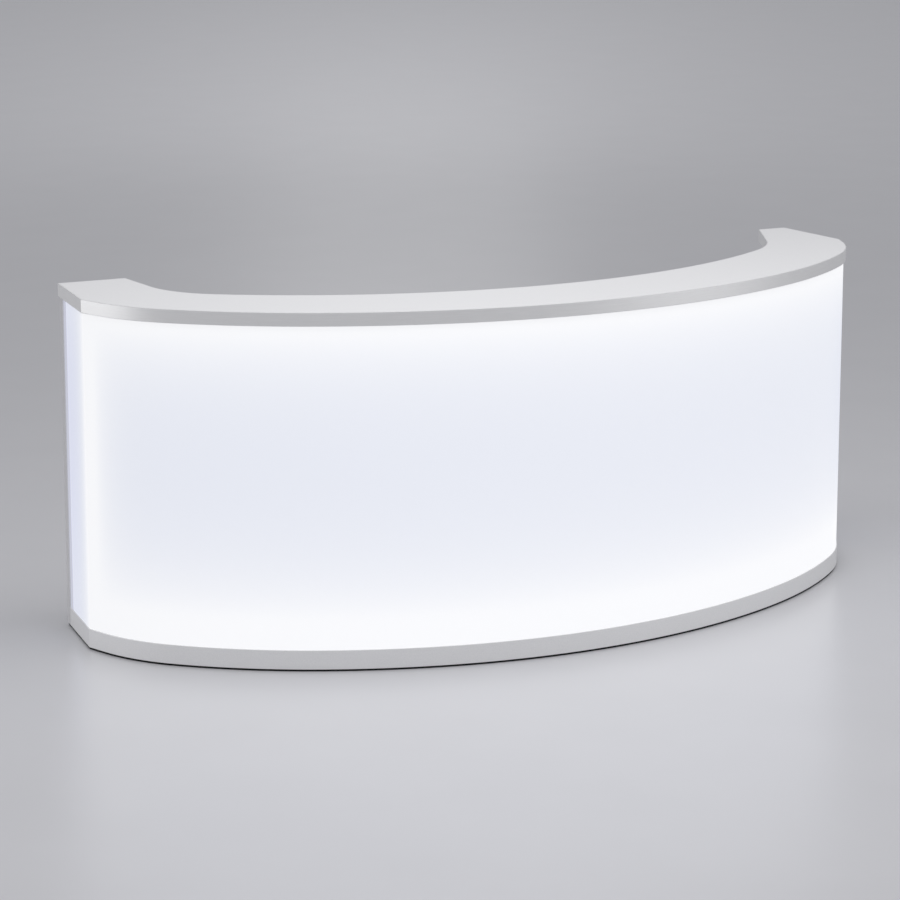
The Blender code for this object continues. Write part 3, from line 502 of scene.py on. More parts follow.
def trimmed(points, start, end):
    """A plan line shortened by a length at each end."""
    first = (points[1] - points[0]).normalized() * start
    last = (points[-2] - points[-1]).normalized() * end
    return [points[0] + first, *points[1:-1], points[-1] + last]


print("front corner of the slab:", [round(c, 4) for c in layer()["front"][-1]])

# %% [markdown]
# A long piece is a section that travels along the plan. The section is a closed ring of points, each
# with its inset from the plan and its level; each of them draws one line, and faces join neighbouring
# lines. Real edges are never quite sharp, and an eased edge is what catches the light, so `eased_ring`
# rounds the corners of a section first.

# %% Sections that travel along the plan
EASE_STEPS = 4


def eased_ring(corners, radii):
    """A ring of section points whose corners are rounded. A corner with radius 0 stays sharp."""
    ring = []
    for i, (corner, radius) in enumerate(zip(corners, radii)):
        here, before, after = Vector(corner), Vector(corners[i - 1]), Vector(corners[(i + 1) % len(corners)])
        if radius == 0.0:
            ring.append(here)
            continue
        start = here + (before - here).normalized() * radius
        end = here + (after - here).normalized() * radius
        for step in range(EASE_STEPS + 1):
            t = step / EASE_STEPS
            ring.append(start * (1 - t) ** 2 + here * 2 * t * (1 - t) + end * t**2)
    return ring


def box_ring(near, far, bottom, top):
    """The four corners of a plain section, the outer side first."""
    return [(near, bottom), (near, top), (far, top), (far, bottom)]


def face_eased(near, far, bottom, top, radius):
    """A plain section with its two outer corners rounded."""
    return eased_ring(box_ring(near, far, bottom, top), (radius, radius, 0.0, 0.0))


def travel(ring, line_at, closed=False):
    """A closed body: each ring point draws its own plan line, and the ends are capped unless it is a loop."""
    shape = bmesh.new()
    rows = [[shape.verts.new((p.x, p.y, level)) for p in line_at(inset)] for inset, level in ring]
    count = len(rows[0])
    for near, far in zip(rows, rows[1:] + rows[:1]):
        for i in range(count if closed else count - 1):
            j = (i + 1) % count
            shape.faces.new((near[i], near[j], far[j], far[i]))
    if not closed:
        shape.faces.new([row[0] for row in rows])
        shape.faces.new([row[-1] for row in rows])
    return shape


print("steps round an eased edge:", EASE_STEPS)

# %% [markdown]
# Each shape becomes a piece that rides on one of the counter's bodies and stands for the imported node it
# replaces. A hole is cut first, with an exact boolean, because a hole that is modelled by hand would
# break the rows of faces round it. Edges that turn by more than 24 degrees stay crisp, and the rest are
# shaded as one smooth surface.

# %% Make a piece of the counter
SHARP = math.radians(24.0)
MADE = {}


def to_mesh(shape, name):
    """Turns a bmesh into a mesh whose faces look outward, and frees it."""
    bmesh.ops.recalc_face_normals(shape, faces=shape.faces)
    mesh = bpy.data.meshes.new(name)
    shape.to_mesh(mesh)
    shape.free()
    return mesh


def cut(mesh, tool_shape):
    """Cuts a closed shape from a mesh and gives the result."""
    tool_mesh = to_mesh(tool_shape, "cutter")
    work, tool = (bpy.data.objects.new("cutting", data) for data in (mesh, tool_mesh))
    for item in (work, tool):
        bpy.context.scene.collection.objects.link(item)
    step = work.modifiers.new("cut", "BOOLEAN")
    step.solver = "EXACT"
    step.object = tool
    graph = bpy.context.evaluated_depsgraph_get()
    result = bpy.data.meshes.new_from_object(work.evaluated_get(graph))
    for item in (work, tool):
        bpy.data.objects.remove(item, do_unlink=True)
    return result


def piece(name, shape, slot, body="counter", nodes=(), finish=None, cutters=()):
    """Turns a bmesh into a piece that rides on a body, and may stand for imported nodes."""
    mesh = to_mesh(shape, name)
    for tool_shape in cutters:
        mesh = cut(mesh, tool_shape)
    mesh.shade_smooth()
    mesh.set_sharp_from_angle(angle=SHARP)
    mesh.materials.clear()
    mesh.materials.append(finish or FINISHES[slot])
    made = bpy.data.objects.new(name, mesh)
    bpy.context.scene.collection.objects.link(made)
    even = made.modifiers.new("even_shading", "WEIGHTED_NORMAL")
    even.keep_sharp = True
    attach(made, body)
    if nodes:
        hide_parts(*nodes)
    MADE[name] = made
    return made


def levels_of(node):
    """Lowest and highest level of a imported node."""
    low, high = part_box(node)
    return low[2], high[2]


print("the plinth stands from", [round(level, 4) for level in levels_of("front_plinth")])

# %% [markdown]
# The slab is a laminated board with 2 mm banding glued round it. Banding is trimmed after gluing with a
# cutter that leaves a round edge of about its own thickness, which is the thin bright rim round the
# slab. The core stops a hair short of it, as the glue line does.

# %% Worktop slab and its edging
SLAB_BOTTOM, SLAB_TOP = levels_of("worktop")
BAND = 2.0 * mm
GLUE = 0.3 * mm
BAND_ROUND = 1.9 * mm

core = layer(*[BAND + GLUE] * 4)
core_sides = {0.0: outside(core), 1.0: core["staff"]}
slab_shape = travel(box_ring(0.0, 1.0, SLAB_BOTTOM, SLAB_TOP), core_sides.get)
piece("silver_slab", slab_shape, "silver_laminate", nodes=["worktop"])

band_ring = face_eased(0.0, BAND, SLAB_BOTTOM, SLAB_TOP, BAND_ROUND)
front_band = travel(band_ring, lambda inset: outside(layer(front=inset, ends=inset)))
piece("front_banding", front_band, "silver_edge_band", nodes=["outer_edge_band"])


def staff_band_line(inset):
    """Along the left rear edge, the staff side and the right rear edge."""
    plan = layer(ends=BAND + GLUE, rear=inset, staff=inset)
    return [plan["left"], *plan["staff"], plan["right"]]


piece("staff_banding", travel(band_ring, staff_band_line), "silver_edge_band", nodes=["inner_edge_band"])
print("slab from", round(SLAB_BOTTOM, 4), "to", round(SLAB_TOP, 4))

# %% [markdown]
# The plinth is bent plywood faced with laminate, in one piece along the front, mitred to a short
# straight piece at each end. Its upper and lower edges are eased by hand, so they show as light lines.
# It stands on a thin black rubber strip that is set back under it and reads as a dark line.

# %% Plinth and floor strip
PLINTH_BOTTOM, PLINTH_TOP = levels_of("front_plinth")
PLINTH_FACE = 5.0 * mm
END_OUTSET = 3.0 * mm
BOARD = 18.0 * mm
SEAT = 0.3 * mm
MITRE = 0.15 * mm
PLINTH_EASE = 2.0 * mm
REAR_FACE = 12.0 * mm
UPRIGHT_FRONT = REAR_FACE + 40.0 * mm


def front_line(inset):
    """The front at an inset, as far as the mitres with the end pieces."""
    return trimmed(layer(front=inset, ends=inset - END_OUTSET)["front"], MITRE, MITRE)


def end_line(word, rear, columns=1):
    """Gives, for any inset, the line along one end from its mitre to a line across the end."""
    index = 0 if word == "left" else -1

    def line_at(inset):
        plan = layer(front=inset, ends=inset - END_OUTSET, rear=rear)
        near, far = trimmed([plan["front"][index], plan[word]], MITRE, 0.0)
        return [near.lerp(far, i / columns) for i in range(columns + 1)]

    return line_at


plinth_ring = face_eased(PLINTH_FACE, PLINTH_FACE + BOARD, PLINTH_BOTTOM, PLINTH_TOP, PLINTH_EASE)
piece("bent_plinth", travel(plinth_ring, front_line), "silver_plinth", nodes=["front_plinth"])
for word in ("left", "right"):
    straight = travel(plinth_ring, end_line(word, UPRIGHT_FRONT + SEAT))
    piece(word + "_end_plinth", straight, "silver_plinth", nodes=[word + "_plinth"])

STRIP_TOP = levels_of("floor_strip")[1]
STRIP_BACK = 3.0 * mm
STRIP_WIDTH = 40.0 * mm
STRIP_EASE = 0.8 * mm
STAFF_FACE = 20.0 * mm


def strip_line(inset):
    """The closed loop that the floor strip follows."""
    plan = layer(PLINTH_FACE + inset, PLINTH_FACE - END_OUTSET + inset, REAR_FACE + inset, STAFF_FACE + inset)
    return [*outside(plan), *reversed(plan["staff"])]


strip_ring = face_eased(STRIP_BACK, STRIP_BACK + STRIP_WIDTH, 0.0, STRIP_TOP, STRIP_EASE)
piece("rubber_strip", travel(strip_ring, strip_line, closed=True), "black_rubber", nodes=["floor_strip"])
print("plinth from", round(PLINTH_BOTTOM, 4), "to", round(PLINTH_TOP, 4))

# %% [markdown]
# The front sheet glows most along its foot and its head, where the lamp lines are, and beside each front
# corner, where an upright bar of lamps stands near the sheet. Each falls away with distance, so each
# vertex gets the level that the sources leave there. Two marks are painted into the level on top of that:
# painted light, a level that rises toward the right in place of room light on that side, and painted shade
# in the right-hand bend, in place of the dimming of a sheet seen edge-on. The end sheets, which have no
# lamp lines of their own, are dimmer and bluer.

# %% Light level on the opal sheets
SHEET_BOTTOM, SHEET_TOP = levels_of("front_diffuser")
SHEET_FACE = 8.0 * mm
FOOT_FLAT, FOOT_REACH = 0.095, 0.165
HEAD_FLAT, HEAD_REACH = 0.028, 0.140
CORNER_FLAT, CORNER_REACH = 0.045, 0.060
END_CORNER_REACH = 0.050
# Painted shade: a dip in the glow near the right-hand bend that no lamp makes.
PAINTED_SHADE_PLACE, PAINTED_SHADE_REACH = 0.200, 0.110
PAINTED_SHADE_SHARE = 0.18
FRONT_LEVEL = 0.45
# Painted light: the glow rises toward the right in place of room light on that side.
RIGHT_PAINTED_LIGHT = 0.05
END_LEVEL = 0.20
END_LAMP_SHARE = 0.15

LEFT_CORNER, *_, RIGHT_CORNER = front_line(SHEET_FACE)


def fall(distance, flat, reach):
    """Light that stays full as far as `flat`, and then dies away over `reach`."""
    return math.exp(-max(0.0, distance - flat) / reach)


def corner_distance(point):
    """How far a point is from the nearer front corner, in plan."""
    return min((point.xy - corner).length for corner in (LEFT_CORNER, RIGHT_CORNER))


def front_glow(point):
    """Light level on the front sheet, from 0 to 1, with painted shade in the right-hand bend and painted
    light toward the right.
    """
    foot = fall(point.z - SHEET_BOTTOM, FOOT_FLAT, FOOT_REACH)
    head = fall(SHEET_TOP - point.z, HEAD_FLAT, HEAD_REACH)
    corner = fall(corner_distance(point), CORNER_FLAT, CORNER_REACH)
    # Painted shade near the right-hand bend and painted light toward the right, added to the lamps' level.
    from_painted_shade = (point.xy - RIGHT_CORNER).length - PAINTED_SHADE_PLACE
    painted_shade = PAINTED_SHADE_SHARE * math.exp(-((from_painted_shade / PAINTED_SHADE_REACH) ** 2))
    unlit = 1 - FRONT_LEVEL - RIGHT_PAINTED_LIGHT * point.x / HALF_WIDTH + painted_shade
    return 1 - unlit * (1 - foot) * (1 - head) * (1 - corner)


def end_glow(point):
    """Light level on an end sheet: the corner's light, and a little from the foot and the head."""
    foot = fall(point.z - SHEET_BOTTOM, FOOT_FLAT, FOOT_REACH) * END_LAMP_SHARE
    head = fall(SHEET_TOP - point.z, HEAD_FLAT, HEAD_REACH) * END_LAMP_SHARE
    corner = fall(corner_distance(point), 0.0, END_CORNER_REACH)
    return 1 - (1 - END_LEVEL) * (1 - foot) * (1 - head) * (1 - corner)


def glowing(made, level_at):
    """Stores the light level at each vertex of a sheet."""
    levels = made.data.attributes.new("glow", "FLOAT", "POINT")
    levels.data.foreach_set("value", [level_at(v.co) for v in made.data.vertices])
    return made


middle_level = front_glow(Vector((0.0, FRONT_Y, (SHEET_BOTTOM + SHEET_TOP) / 2)))
print("light level at the middle of the front:", round(middle_level, 3))

# %% [markdown]
# The sheets are 5 mm acrylic, bent warm over a former along the front and left flat at the ends, where
# they are mitred to it. A plain section would do for the shape, but the light level lives on vertices,
# so the sheets are cut into fine rows, closest together near the foot and the head.

# %% Opal sheets
SHEET_BACK = 13.0 * mm
SHEET_ROWS = 44
END_COLUMNS = 16
STOP_FRONT = UPRIGHT_FRONT + 32.0 * mm


def sheet_ring(near, far):
    """Section of a sheet with fine rows up its face and back."""
    rise = SHEET_TOP - SHEET_BOTTOM
    shares = [(1 - math.cos(math.pi * i / SHEET_ROWS)) / 2 for i in range(SHEET_ROWS + 1)]
    rows = [SHEET_BOTTOM + rise * share for share in shares]
    return [(near, z) for z in rows] + [(far, z) for z in reversed(rows)]


opal_ring = sheet_ring(SHEET_FACE, SHEET_BACK)
bent_sheet = travel(opal_ring, front_line)
glowing(piece("opal_front_sheet", bent_sheet, "opal_acrylic", nodes=["front_diffuser"]), front_glow)
for word in ("left", "right"):
    flat_sheet = travel(opal_ring, end_line(word, STOP_FRONT + SEAT, END_COLUMNS))
    made = piece(word + "_opal_end_sheet", flat_sheet, "opal_acrylic", nodes=[word + "_end_diffuser"])
    glowing(made, end_glow)
print("opal sheets stand from", round(SHEET_BOTTOM, 4), "to", round(SHEET_TOP, 4), "in", SHEET_ROWS, "rows")

# %% [markdown]
# Fittings are turned, milled or stamped in a frame of their own: x to the right, y up, z out of the
# surface they sit on. These helpers make a turned body from its profile and a block with rounded edges,
# and gather several shapes in one piece.

# %% Turned and rounded fittings
ROUND_STEPS = 3
ROUND_PROFILE = 0.5


def fitting_frame(point, right, out):
    """A local frame with its origin at a point: x to the right, y upward, z out of the surface."""
    out = Vector(out).normalized()
    right = (Vector(right) - out * out.dot(Vector(right))).normalized()
    turn = Matrix((right, out.cross(right), out)).transposed().to_4x4()
    return Matrix.Translation(point) @ turn


def turned(place, profile, sides):
    """A body turned about the local z axis; the profile runs from the axis to the axis as radius, height."""
    shape = bmesh.new()
    angles = [2 * math.pi * k / sides for k in range(sides)]
    rings = []
    for radius, height in profile:
        spots = angles if radius > 0.0 else angles[:1]
        around = [Vector((radius * math.cos(a), radius * math.sin(a), height)) for a in spots]
        rings.append([shape.verts.new(place @ spot) for spot in around])
    for near, far in zip(rings, rings[1:]):
        for k in range(sides):
            j = (k + 1) % sides
            corners = (near[k % len(near)], near[j % len(near)], far[j % len(far)], far[k % len(far)])
            shape.faces.new(list(dict.fromkeys(corners)))
    return shape


def round_edges(shape, edges, radius):
    """Rounds some edges of a shape."""
    bmesh.ops.bevel(
        shape,
        geom=edges,
        offset=radius,
        segments=ROUND_STEPS,
        profile=ROUND_PROFILE,
        affect="EDGES",
        clamp_overlap=True,
    )


def rounded_block(place, low, high, radius):
    """A box between two corners of a local frame, with rounded edges."""
    shape = bmesh.new()
    middle = (Vector(low) + Vector(high)) / 2
    size = [b - a for a, b in zip(low, high)]
    stretch = Matrix.Translation(middle) @ Matrix.Diagonal((*size, 1.0))
    bmesh.ops.create_cube(shape, size=1.0, matrix=place @ stretch)
    if radius > 0.0:
        round_edges(shape, shape.edges[:], radius)
    return shape


def joined(shapes):
    """Several closed shapes in one."""
    whole = bmesh.new()
    for shape in shapes:
        mesh = to_mesh(shape, "joined")
        whole.from_mesh(mesh)
        bpy.data.meshes.remove(mesh)
    return whole


print("steps round a fitting's edge:", ROUND_STEPS)

# %% [markdown]
# The staff side is closed by bent panels, with a door of the same bend between them. In the packed
# model the bend is a run of flats; here it is a true curve, a little thinner so that it clears the
# boards behind it. The door is bored for the knob's spindle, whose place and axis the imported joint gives.

# %% Staff panels and the service door
PANEL_BACK = STAFF_FACE + 11.4 * mm
PANEL_EASE = 1.0 * mm
HALF_GAP = 1.5 * mm
BORE_RADIUS = 6.4 * mm
CUTTER_REACH = 40.0 * mm
BORE_SIDES = 48
UPWARD = Vector((0.0, 0.0, 1.0))

JOINTS = {joint["name"]: joint for joint in frame["record"]["behaviour"]["joints"]}
knob_axis = Vector(JOINTS["knob_turn"]["axis"])
knob_place = fitting_frame(JOINTS["knob_turn"]["pos_m"], UPWARD.cross(knob_axis), knob_axis)


def panel_line(first, last, start_trim, end_trim):
    """Gives, for any inset, a stretch of the staff side between two of its points."""

    def line_at(inset):
        line = layer(rear=REAR_FACE, staff=inset)["staff"][first : last + 1]
        return trimmed(line, start_trim, end_trim)

    return line_at


def panel_shape(node, line_at):
    """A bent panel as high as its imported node."""
    return travel(face_eased(STAFF_FACE, PANEL_BACK, *levels_of(node), PANEL_EASE), line_at)


LAST = len(STAFF_LINE) - 1
left_panel = panel_shape("left_back_panel", panel_line(0, DOOR_LEFT, 0.0, HALF_GAP))
piece("left_bent_panel", left_panel, "staff_laminate", nodes=["left_back_panel"])
right_panel = panel_shape("right_back_panel", panel_line(DOOR_RIGHT, LAST, HALF_GAP, 0.0))
piece("right_bent_panel", right_panel, "staff_laminate", nodes=["right_back_panel"])
bore_profile = [
    (0.0, -CUTTER_REACH),
    (BORE_RADIUS, -CUTTER_REACH),
    (BORE_RADIUS, CUTTER_REACH),
    (0.0, CUTTER_REACH),
]
piece(
    "bent_door",
    panel_shape("service_door", panel_line(DOOR_LEFT, DOOR_RIGHT, HALF_GAP, HALF_GAP)),
    "staff_laminate",
    "door",
    nodes=["service_door"],
    cutters=[turned(knob_place, bore_profile, BORE_SIDES)],
)
print("door bored at", [round(c, 4) for c in knob_place.translation])

# %% [markdown]
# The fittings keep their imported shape. A copy of each is cleaned of the triangles that the exchange
# file left in its flat faces, and its sharp edges are eased by the amount a press, a worker or a mould
# would leave.

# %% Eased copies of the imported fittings
EASED_EDGE = math.radians(40.0)
SAME_POINT = 0.01 * mm
SAME_PLANE = math.radians(0.4)
UPRIGHT_EASE = 1.2 * mm
REAR_PANEL_EASE = 0.8 * mm
STOP_EASE = 0.8 * mm
STOP_LEVEL = 0.0
LEAF_EASE = 0.25 * mm
HINGE_PIN_EASE = 0.4 * mm
KNOB_EASE = 0.8 * mm
ROCKER_EASE = 1.2 * mm


def eased(node, radius, body="counter", cutters=()):
    """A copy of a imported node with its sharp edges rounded."""
    shape = bmesh.new()
    shape.from_mesh(frame["nodes"][node].data)
    bmesh.ops.remove_doubles(shape, verts=shape.verts, dist=SAME_POINT)
    bmesh.ops.dissolve_limit(shape, angle_limit=SAME_PLANE, verts=shape.verts, edges=shape.edges)
    sharp = [edge for edge in shape.edges if edge.is_manifold and edge.calc_face_angle() > EASED_EDGE]
    round_edges(shape, sharp, radius)
    return piece(node + "_eased", shape, SLOT_OF[node], body, nodes=[node], cutters=cutters)


for word in ("left", "right"):
    eased(word + "_rear_upright", UPRIGHT_EASE)
    eased(word + "_rear_panel", REAR_PANEL_EASE)
    glowing(eased(word + "_diffuser_stop", STOP_EASE), lambda point: STOP_LEVEL)
for word in ("lower", "upper"):
    eased(word + "_hinge_panel_leaf", LEAF_EASE)
    eased(word + "_hinge_door_leaf", LEAF_EASE, "door")
    eased(word + "_hinge_pin", HINGE_PIN_EASE)
eased("door_knob", KNOB_EASE, "knob")
eased("rocker_switch", ROCKER_EASE, "rocker")
print("eased fittings:", [name for name in MADE if name.endswith("_eased")])

# %% [markdown]
# The mains inlet is a black moulding with a socket below the rocker, and the lamp supply is a grey one
# with a foot at each end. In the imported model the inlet's three pins are one with it, but on the real
# thing they are metal. So the socket is cut clear in the eased copy, and pins are set in it later.

# %% Mains inlet and lamp supply
INLET_EASE = 0.5 * mm
DRIVER_EASE = 1.0 * mm
SOCKET_MIDDLE = -18.0 * mm
SOCKET_HALF = (11.8 * mm, 8.3 * mm)
SOCKET_FLOOR = -16.2 * mm

inlet_low, inlet_high = (Vector(corner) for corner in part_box("inlet_housing"))
inlet_middle = (inlet_low + inlet_high) / 2
inlet_face = (inlet_middle.x, inlet_high.y, inlet_middle.z)
inlet_place = fitting_frame(inlet_face, (-1.0, 0.0, 0.0), (0.0, 1.0, 0.0))
socket_low = (-SOCKET_HALF[0], SOCKET_MIDDLE - SOCKET_HALF[1], SOCKET_FLOOR)
socket_high = (SOCKET_HALF[0], SOCKET_MIDDLE + SOCKET_HALF[1], CUTTER_REACH)
eased("inlet_housing", INLET_EASE, cutters=[rounded_block(inlet_place, socket_low, socket_high, 0.0)])
eased("light_driver", DRIVER_EASE)
print("inlet in the rear panel at", [round(c, 4) for c in inlet_place.translation])

# %% [markdown]
# Hinge leaves, the inlet and the lamp supply are held by small pan-head screws with a cross recess. A
# plain disc would show no recess, so one screw is turned from its profile, its recess is cut, and copies
# of it are set on each fitting.

# %% Pan-head screw
HEAD_RADIUS = 3.0 * mm
HEAD_RISE = 1.6 * mm
HEAD_EDGE = 0.5 * mm
HEAD_CURVE = ((0.9, 0.65), (0.6, 0.92))
RECESS_REACH = 1.9 * mm
RECESS_WIDTH = 0.35 * mm
RECESS_DEPTH = 0.9 * mm
SCREW_SIDES = 24


def make_screw():
    """One pan-head screw at the origin, with z out of the surface."""
    crown = [(HEAD_RADIUS * across, HEAD_RISE * up) for across, up in HEAD_CURVE]
    rim = [(HEAD_RADIUS, 0.0), (HEAD_RADIUS, HEAD_EDGE)]
    mesh = to_mesh(turned(Matrix(), [(0.0, 0.0), *rim, *crown, (0.0, HEAD_RISE)], SCREW_SIDES), "screw")
    for reach_x, reach_y in ((RECESS_REACH, RECESS_WIDTH), (RECESS_WIDTH, RECESS_REACH)):
        low = (-reach_x, -reach_y, HEAD_RISE - RECESS_DEPTH)
        mesh = cut(mesh, rounded_block(Matrix(), low, (reach_x, reach_y, 2 * HEAD_RISE), 0.0))
    return mesh


SCREW = make_screw()


def screws(name, places, body="counter", finish=None):
    """A set of screws, one in each local frame, as one piece."""
    shape = bmesh.new()
    for place in places:
        known = len(shape.verts)
        shape.from_mesh(SCREW)
        shape.verts.ensure_lookup_table()
        bmesh.ops.transform(shape, matrix=place, verts=shape.verts[known:])
    return piece(name, shape, "steel", body, finish=finish)


print("faces of one screw:", len(SCREW.polygons))

# %% [markdown]
# A hinge leaf has three screws, the middle one to one side of the other two, so that they don't split the
# board along one line. The inlet has one above and one below, and the supply one on each foot. The flat
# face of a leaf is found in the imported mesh: it is the largest one that looks outward.

# %% Screws on the fittings
STAFFWARD = Vector((0.0, 1.0, 0.0))
ON_FACE = 0.01 * mm
LEAF_ROWS = (0.66, 0.0, -0.66)
LEAF_SHIFT = 0.30
INLET_SCREW_INSET = 4.0 * mm
FLANGE_RISE = 3.0 * mm
FLANGE_MIDDLE = 9.0 * mm


def outer_face(node, toward):
    """The largest flat face of a fitting that looks one way: a frame at its middle, and its half size."""
    mesh = frame["nodes"][node].data
    looking = [face for face in mesh.polygons if face.normal.dot(toward) > math.cos(EASED_EDGE)]
    largest = max(looking, key=lambda face: face.area)
    normal = largest.normal
    level = largest.center.dot(normal)
    place = fitting_frame((0.0, 0.0, 0.0), UPWARD.cross(normal), normal)
    flat = [place.inverted() @ v.co for v in mesh.vertices if abs(v.co.dot(normal) - level) < ON_FACE]
    low = Vector([min(p[i] for p in flat) for i in range(3)])
    high = Vector([max(p[i] for p in flat) for i in range(3)])
    return place @ Matrix.Translation((low + high) / 2), (high - low) / 2


for word in ("lower", "upper"):
    for side, body in (("panel", "counter"), ("door", "door")):
        place, half = outer_face(f"{word}_hinge_{side}_leaf", STAFFWARD)
        spots = [(half.x * LEAF_SHIFT * (-1 if row else 1), half.y * row, 0.0) for row in LEAF_ROWS]
        screws(f"{word}_{side}_leaf_screws", [place @ Matrix.Translation(spot) for spot in spots], body)

plate_place, plate_half = outer_face("inlet_housing", STAFFWARD)
reach = plate_half.y - INLET_SCREW_INSET
inlet_spots = [plate_place @ Matrix.Translation((0.0, side * reach, 0.0)) for side in (-1, 1)]
screws("inlet_screws", inlet_spots, finish=black_steel)

driver_low, driver_high = (Vector(corner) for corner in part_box("light_driver"))
flange_columns = (driver_low.x + FLANGE_MIDDLE, driver_high.x - FLANGE_MIDDLE)
flange_y = (driver_low.y + driver_high.y) / 2
flange_spots = [(x, flange_y, driver_low.z + FLANGE_RISE) for x in flange_columns]
screws("driver_screws", [Matrix.Translation(spot) for spot in flange_spots])
print("sets of screws:", [name for name in MADE if name.endswith("screws")])

# %% [markdown]
# The inlet's pins are brass blades with rounded edges, three in a row, the earth pin a little higher.
# They stand a hair above the socket's floor, so that no two faces lie in one plane.

# %% Inlet pins
PIN_PITCH = 7.0 * mm
PIN_HALF = (1.0 * mm, 2.0 * mm)
PIN_TIP = -4.0 * mm
PIN_EASE = 0.4 * mm
EARTH_LIFT = 2.0 * mm

pins = []
for column in (-1, 0, 1):
    middle_y = SOCKET_MIDDLE + (EARTH_LIFT if column == 0 else 0.0)
    low = (column * PIN_PITCH - PIN_HALF[0], middle_y - PIN_HALF[1], SOCKET_FLOOR + ON_FACE)
    high = (column * PIN_PITCH + PIN_HALF[0], middle_y + PIN_HALF[1], PIN_TIP)
    pins.append(rounded_block(inlet_place, low, high, PIN_EASE))
print("inlet pins:", len(pins))
piece("inlet_pins", joined(pins), "steel", finish=nickel)

# %% [markdown]
# The lamps are chips of about 5 mm with a yellow phosphor face, soldered along white tape every 50 mm.
# They are set along both lamp lines, as far as the bends, and up the bars behind the front corners. They
# could be a pattern in the tape's material, but the open door shows them from close by, so they are
# small rounded blocks.

# %% Lamp chips
CHIP_HALF = 2.5 * mm
CHIP_RISE = 1.4 * mm
CHIP_EASE = 0.3 * mm
CHIP_PITCH = 50.0 * mm
LAMP_LINE = 53.5 * mm
LAMP_END = 40.0 * mm
BEND_POINTS = FRONT_STEPS[2] + WING_STEPS


def chip(place):
    """One lamp chip in a local frame, z away from the tape."""
    low = (-CHIP_HALF, -CHIP_HALF, ON_FACE)
    return rounded_block(place, low, (CHIP_HALF, CHIP_HALF, CHIP_RISE), CHIP_EASE)


def spread(points, pitch):
    """Points and directions at equal steps along a plan line, from its start."""
    spots = []
    due = 0.0
    for near, far in zip(points, points[1:]):
        length = (far - near).length
        while due < length:
            spots.append((near.lerp(far, due / length), (far - near).normalized()))
            due += pitch
        due -= length
    return spots


lamp_line = trimmed(layer(front=LAMP_LINE)["front"][BEND_POINTS:-BEND_POINTS], LAMP_END, LAMP_END)
for word, up in (("lower", 1.0), ("upper", -1.0)):
    low, high = levels_of(word + "_light_strip")
    level = high if up > 0 else low
    chips = []
    for point, along in spread(lamp_line, CHIP_PITCH):
        chips.append(chip(fitting_frame((*point, level), (*along, 0.0), (0.0, 0.0, up))))
    print(word, "lamp chips:", len(chips))
    piece(word + "_lamp_chips", joined(chips), "led_strip", finish=phosphor)
for word, corner in (("left", LEFT_CORNER), ("right", RIGHT_CORNER)):
    low, high = (Vector(c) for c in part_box(word + "_corner_light_strip"))
    toward = (corner - ((low + high) / 2).xy).normalized()
    place, half = outer_face(word + "_corner_light_strip", Vector((*toward, 0.0)))
    count = int(2 * half.y / CHIP_PITCH)
    rows = [(i - (count - 1) / 2) * CHIP_PITCH for i in range(count)]
    chips = [chip(place @ Matrix.Translation((0.0, row, 0.0))) for row in rows]
    piece(word + "_corner_lamp_chips", joined(chips), "led_strip", finish=phosphor)

# %% [markdown]
# The boards, ribs, channels and tapes inside are cut square on the real counter too, and only the open
# door shows them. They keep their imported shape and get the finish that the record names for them, on
# the object's own slot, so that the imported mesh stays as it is.

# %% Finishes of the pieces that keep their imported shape
shown = [name for name, node in frame["nodes"].items() if not node.hide_render]
for name in shown:
    node = frame["nodes"][name]
    node.material_slots[0].link = "OBJECT"
    node.material_slots[0].material = FINISHES[SLOT_OF[name]]
print("pieces in their packed shape:", len(shown))

# %% [markdown]
# The counter stands in a plain studio. The floor is a wide sheet of satin lacquer in pale grey that takes
# a soft image of the lit front. The room gives even light from all sides; seen directly, or mirrored, it
# is the grey of the far floor, so that no hard line parts the two.

# %% Studio floor and room
FLOOR_RADIUS = 150.0
FLOOR_SIDES = 96
ROOM_LIGHT = 0.66
ROOM_WHITE = "FCFCFF"
ROOM_GREY = "9E9FA3"

# A hard clear lacquer: the tone hardly wavers, and the mirror image is strong but blurred.
satin_floor = grained(
    "satin_studio_floor",
    ("C2C2C5", "C4C4C7"),
    roughness=0.30,
    grain_mm=400.0,
    relief_mm=0.0,
    ior=1.65,
    waver=0.004,
)


def make_floor():
    """A wide disc of satin studio floor, just under the counter's foot."""
    shape = bmesh.new()
    bmesh.ops.create_circle(shape, cap_ends=True, segments=FLOOR_SIDES, radius=FLOOR_RADIUS)
    mesh = bpy.data.meshes.new("studio_floor")
    shape.to_mesh(mesh)
    shape.free()
    mesh.materials.append(satin_floor)
    made = bpy.data.objects.new("studio_floor", mesh)
    bpy.context.scene.collection.objects.link(made)


def make_room():
    """Even light from all round, with a grey that only direct, mirrored and see-through rays meet."""
    world = bpy.data.worlds.new("studio_room")
    bpy.context.scene.world = world
    world.use_nodes = True
    tree = world.node_tree
    tree.nodes.clear()
    ray = add(tree, "LightPath", {})
    mirrored_or_seen = {0: ray.outputs["Is Camera Ray"], 1: ray.outputs["Is Glossy Ray"]}
    either = add(tree, "Math", mirrored_or_seen, operation="MAXIMUM")
    seen_through = {0: either.outputs[0], 1: ray.outputs["Is Transmission Ray"]}
    direct = add(tree, "Math", seen_through, operation="MAXIMUM")
    light = add(tree, "Background", {"Color": linear(ROOM_WHITE), "Strength": ROOM_LIGHT})
    grey = add(tree, "Background", {"Color": linear(ROOM_GREY), "Strength": 1.0})
    both = add(tree, "MixShader", {0: direct.outputs[0], 1: light.outputs[0], 2: grey.outputs[0]})
    add(tree, "OutputWorld", {"Surface": both.outputs[0]})


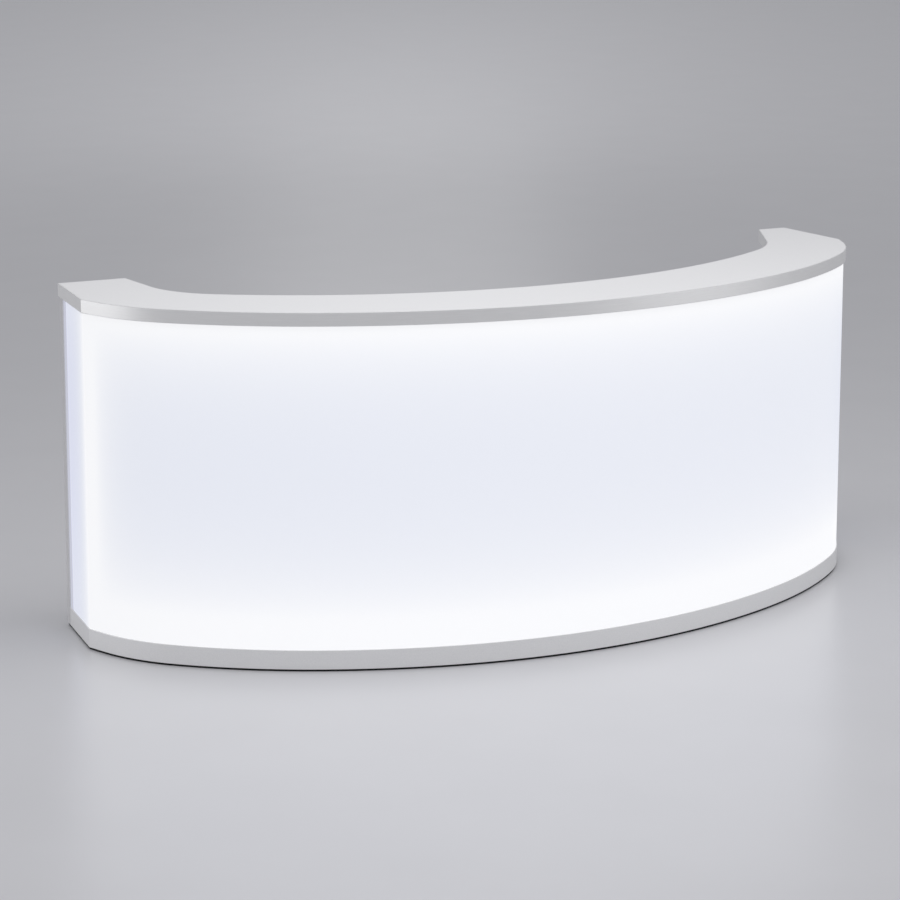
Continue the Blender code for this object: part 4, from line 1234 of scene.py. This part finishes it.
make_floor()
make_room()
print("floor radius:", FLOOR_RADIUS, "room light:", ROOM_LIGHT)

# %% [markdown]
# A broad light hangs over the counter and a little in front of it. Two low panels give the silver edges
# something to mirror, and one light fills the staff side; a photographer would flag these off the floor,
# and here each falls only on the pieces it is meant for. A long light far behind the counter brightens
# the floor there.

# %% Soft lights
def soft_light(name, place, aim, size, power, falls_on=()):
    """A rectangular soft light that faces a point. It may fall on some pieces only."""
    data = bpy.data.lights.new(name, "AREA")
    data.shape = "RECTANGLE"
    data.size, data.size_y = size
    data.energy = power
    made = bpy.data.objects.new(name, data)
    made.location = place
    made.rotation_euler = (Vector(aim) - Vector(place)).to_track_quat("-Z", "Y").to_euler()
    made.visible_camera = False
    if falls_on:
        lit = bpy.data.collections.new(name + "_falls_on")
        for piece_name in falls_on:
            lit.objects.link(MADE[piece_name])
        made.light_linking.receiver_collection = lit
    bpy.context.scene.collection.objects.link(made)


FRONT_PIECES = ("sheet", "slab", "banding", "plinth", "stop_eased")
silver_edges = [name for name in MADE if name.endswith(("front_banding", "plinth"))]
staff_side = [name for name in MADE if not name.endswith(FRONT_PIECES)]
soft_light("overhead_light", place=(-0.1, -1.3, 4.2), aim=(0.0, -0.5, 0.0), size=(5.0, 2.8), power=92.0)
soft_light(
    "left_panel",
    place=(-4.5, 1.2, 0.8),
    aim=(-1.3, 0.05, 0.9),
    size=(3.2, 1.6),
    power=22.0,
    falls_on=silver_edges,
)
soft_light(
    "right_panel",
    place=(3.5, -2.95, 0.8),
    aim=(0.4, -0.46, 0.9),
    size=(3.0, 1.6),
    power=12.0,
    falls_on=silver_edges,
)
soft_light(
    "staff_light",
    place=(0.3, 3.4, 1.5),
    aim=(0.0, 0.0, 0.6),
    size=(3.5, 1.4),
    power=36.0,
    falls_on=staff_side,
)
soft_light("far_light", place=(8.9, 20.3, 5.2), aim=(9.2, 20.9, 0.0), size=(3.5, 22.0), power=210.0)
bpy.context.scene.view_settings.view_transform = "Standard"
print("pieces under the low panels:", len(silver_edges), "and under the staff light:", len(staff_side))
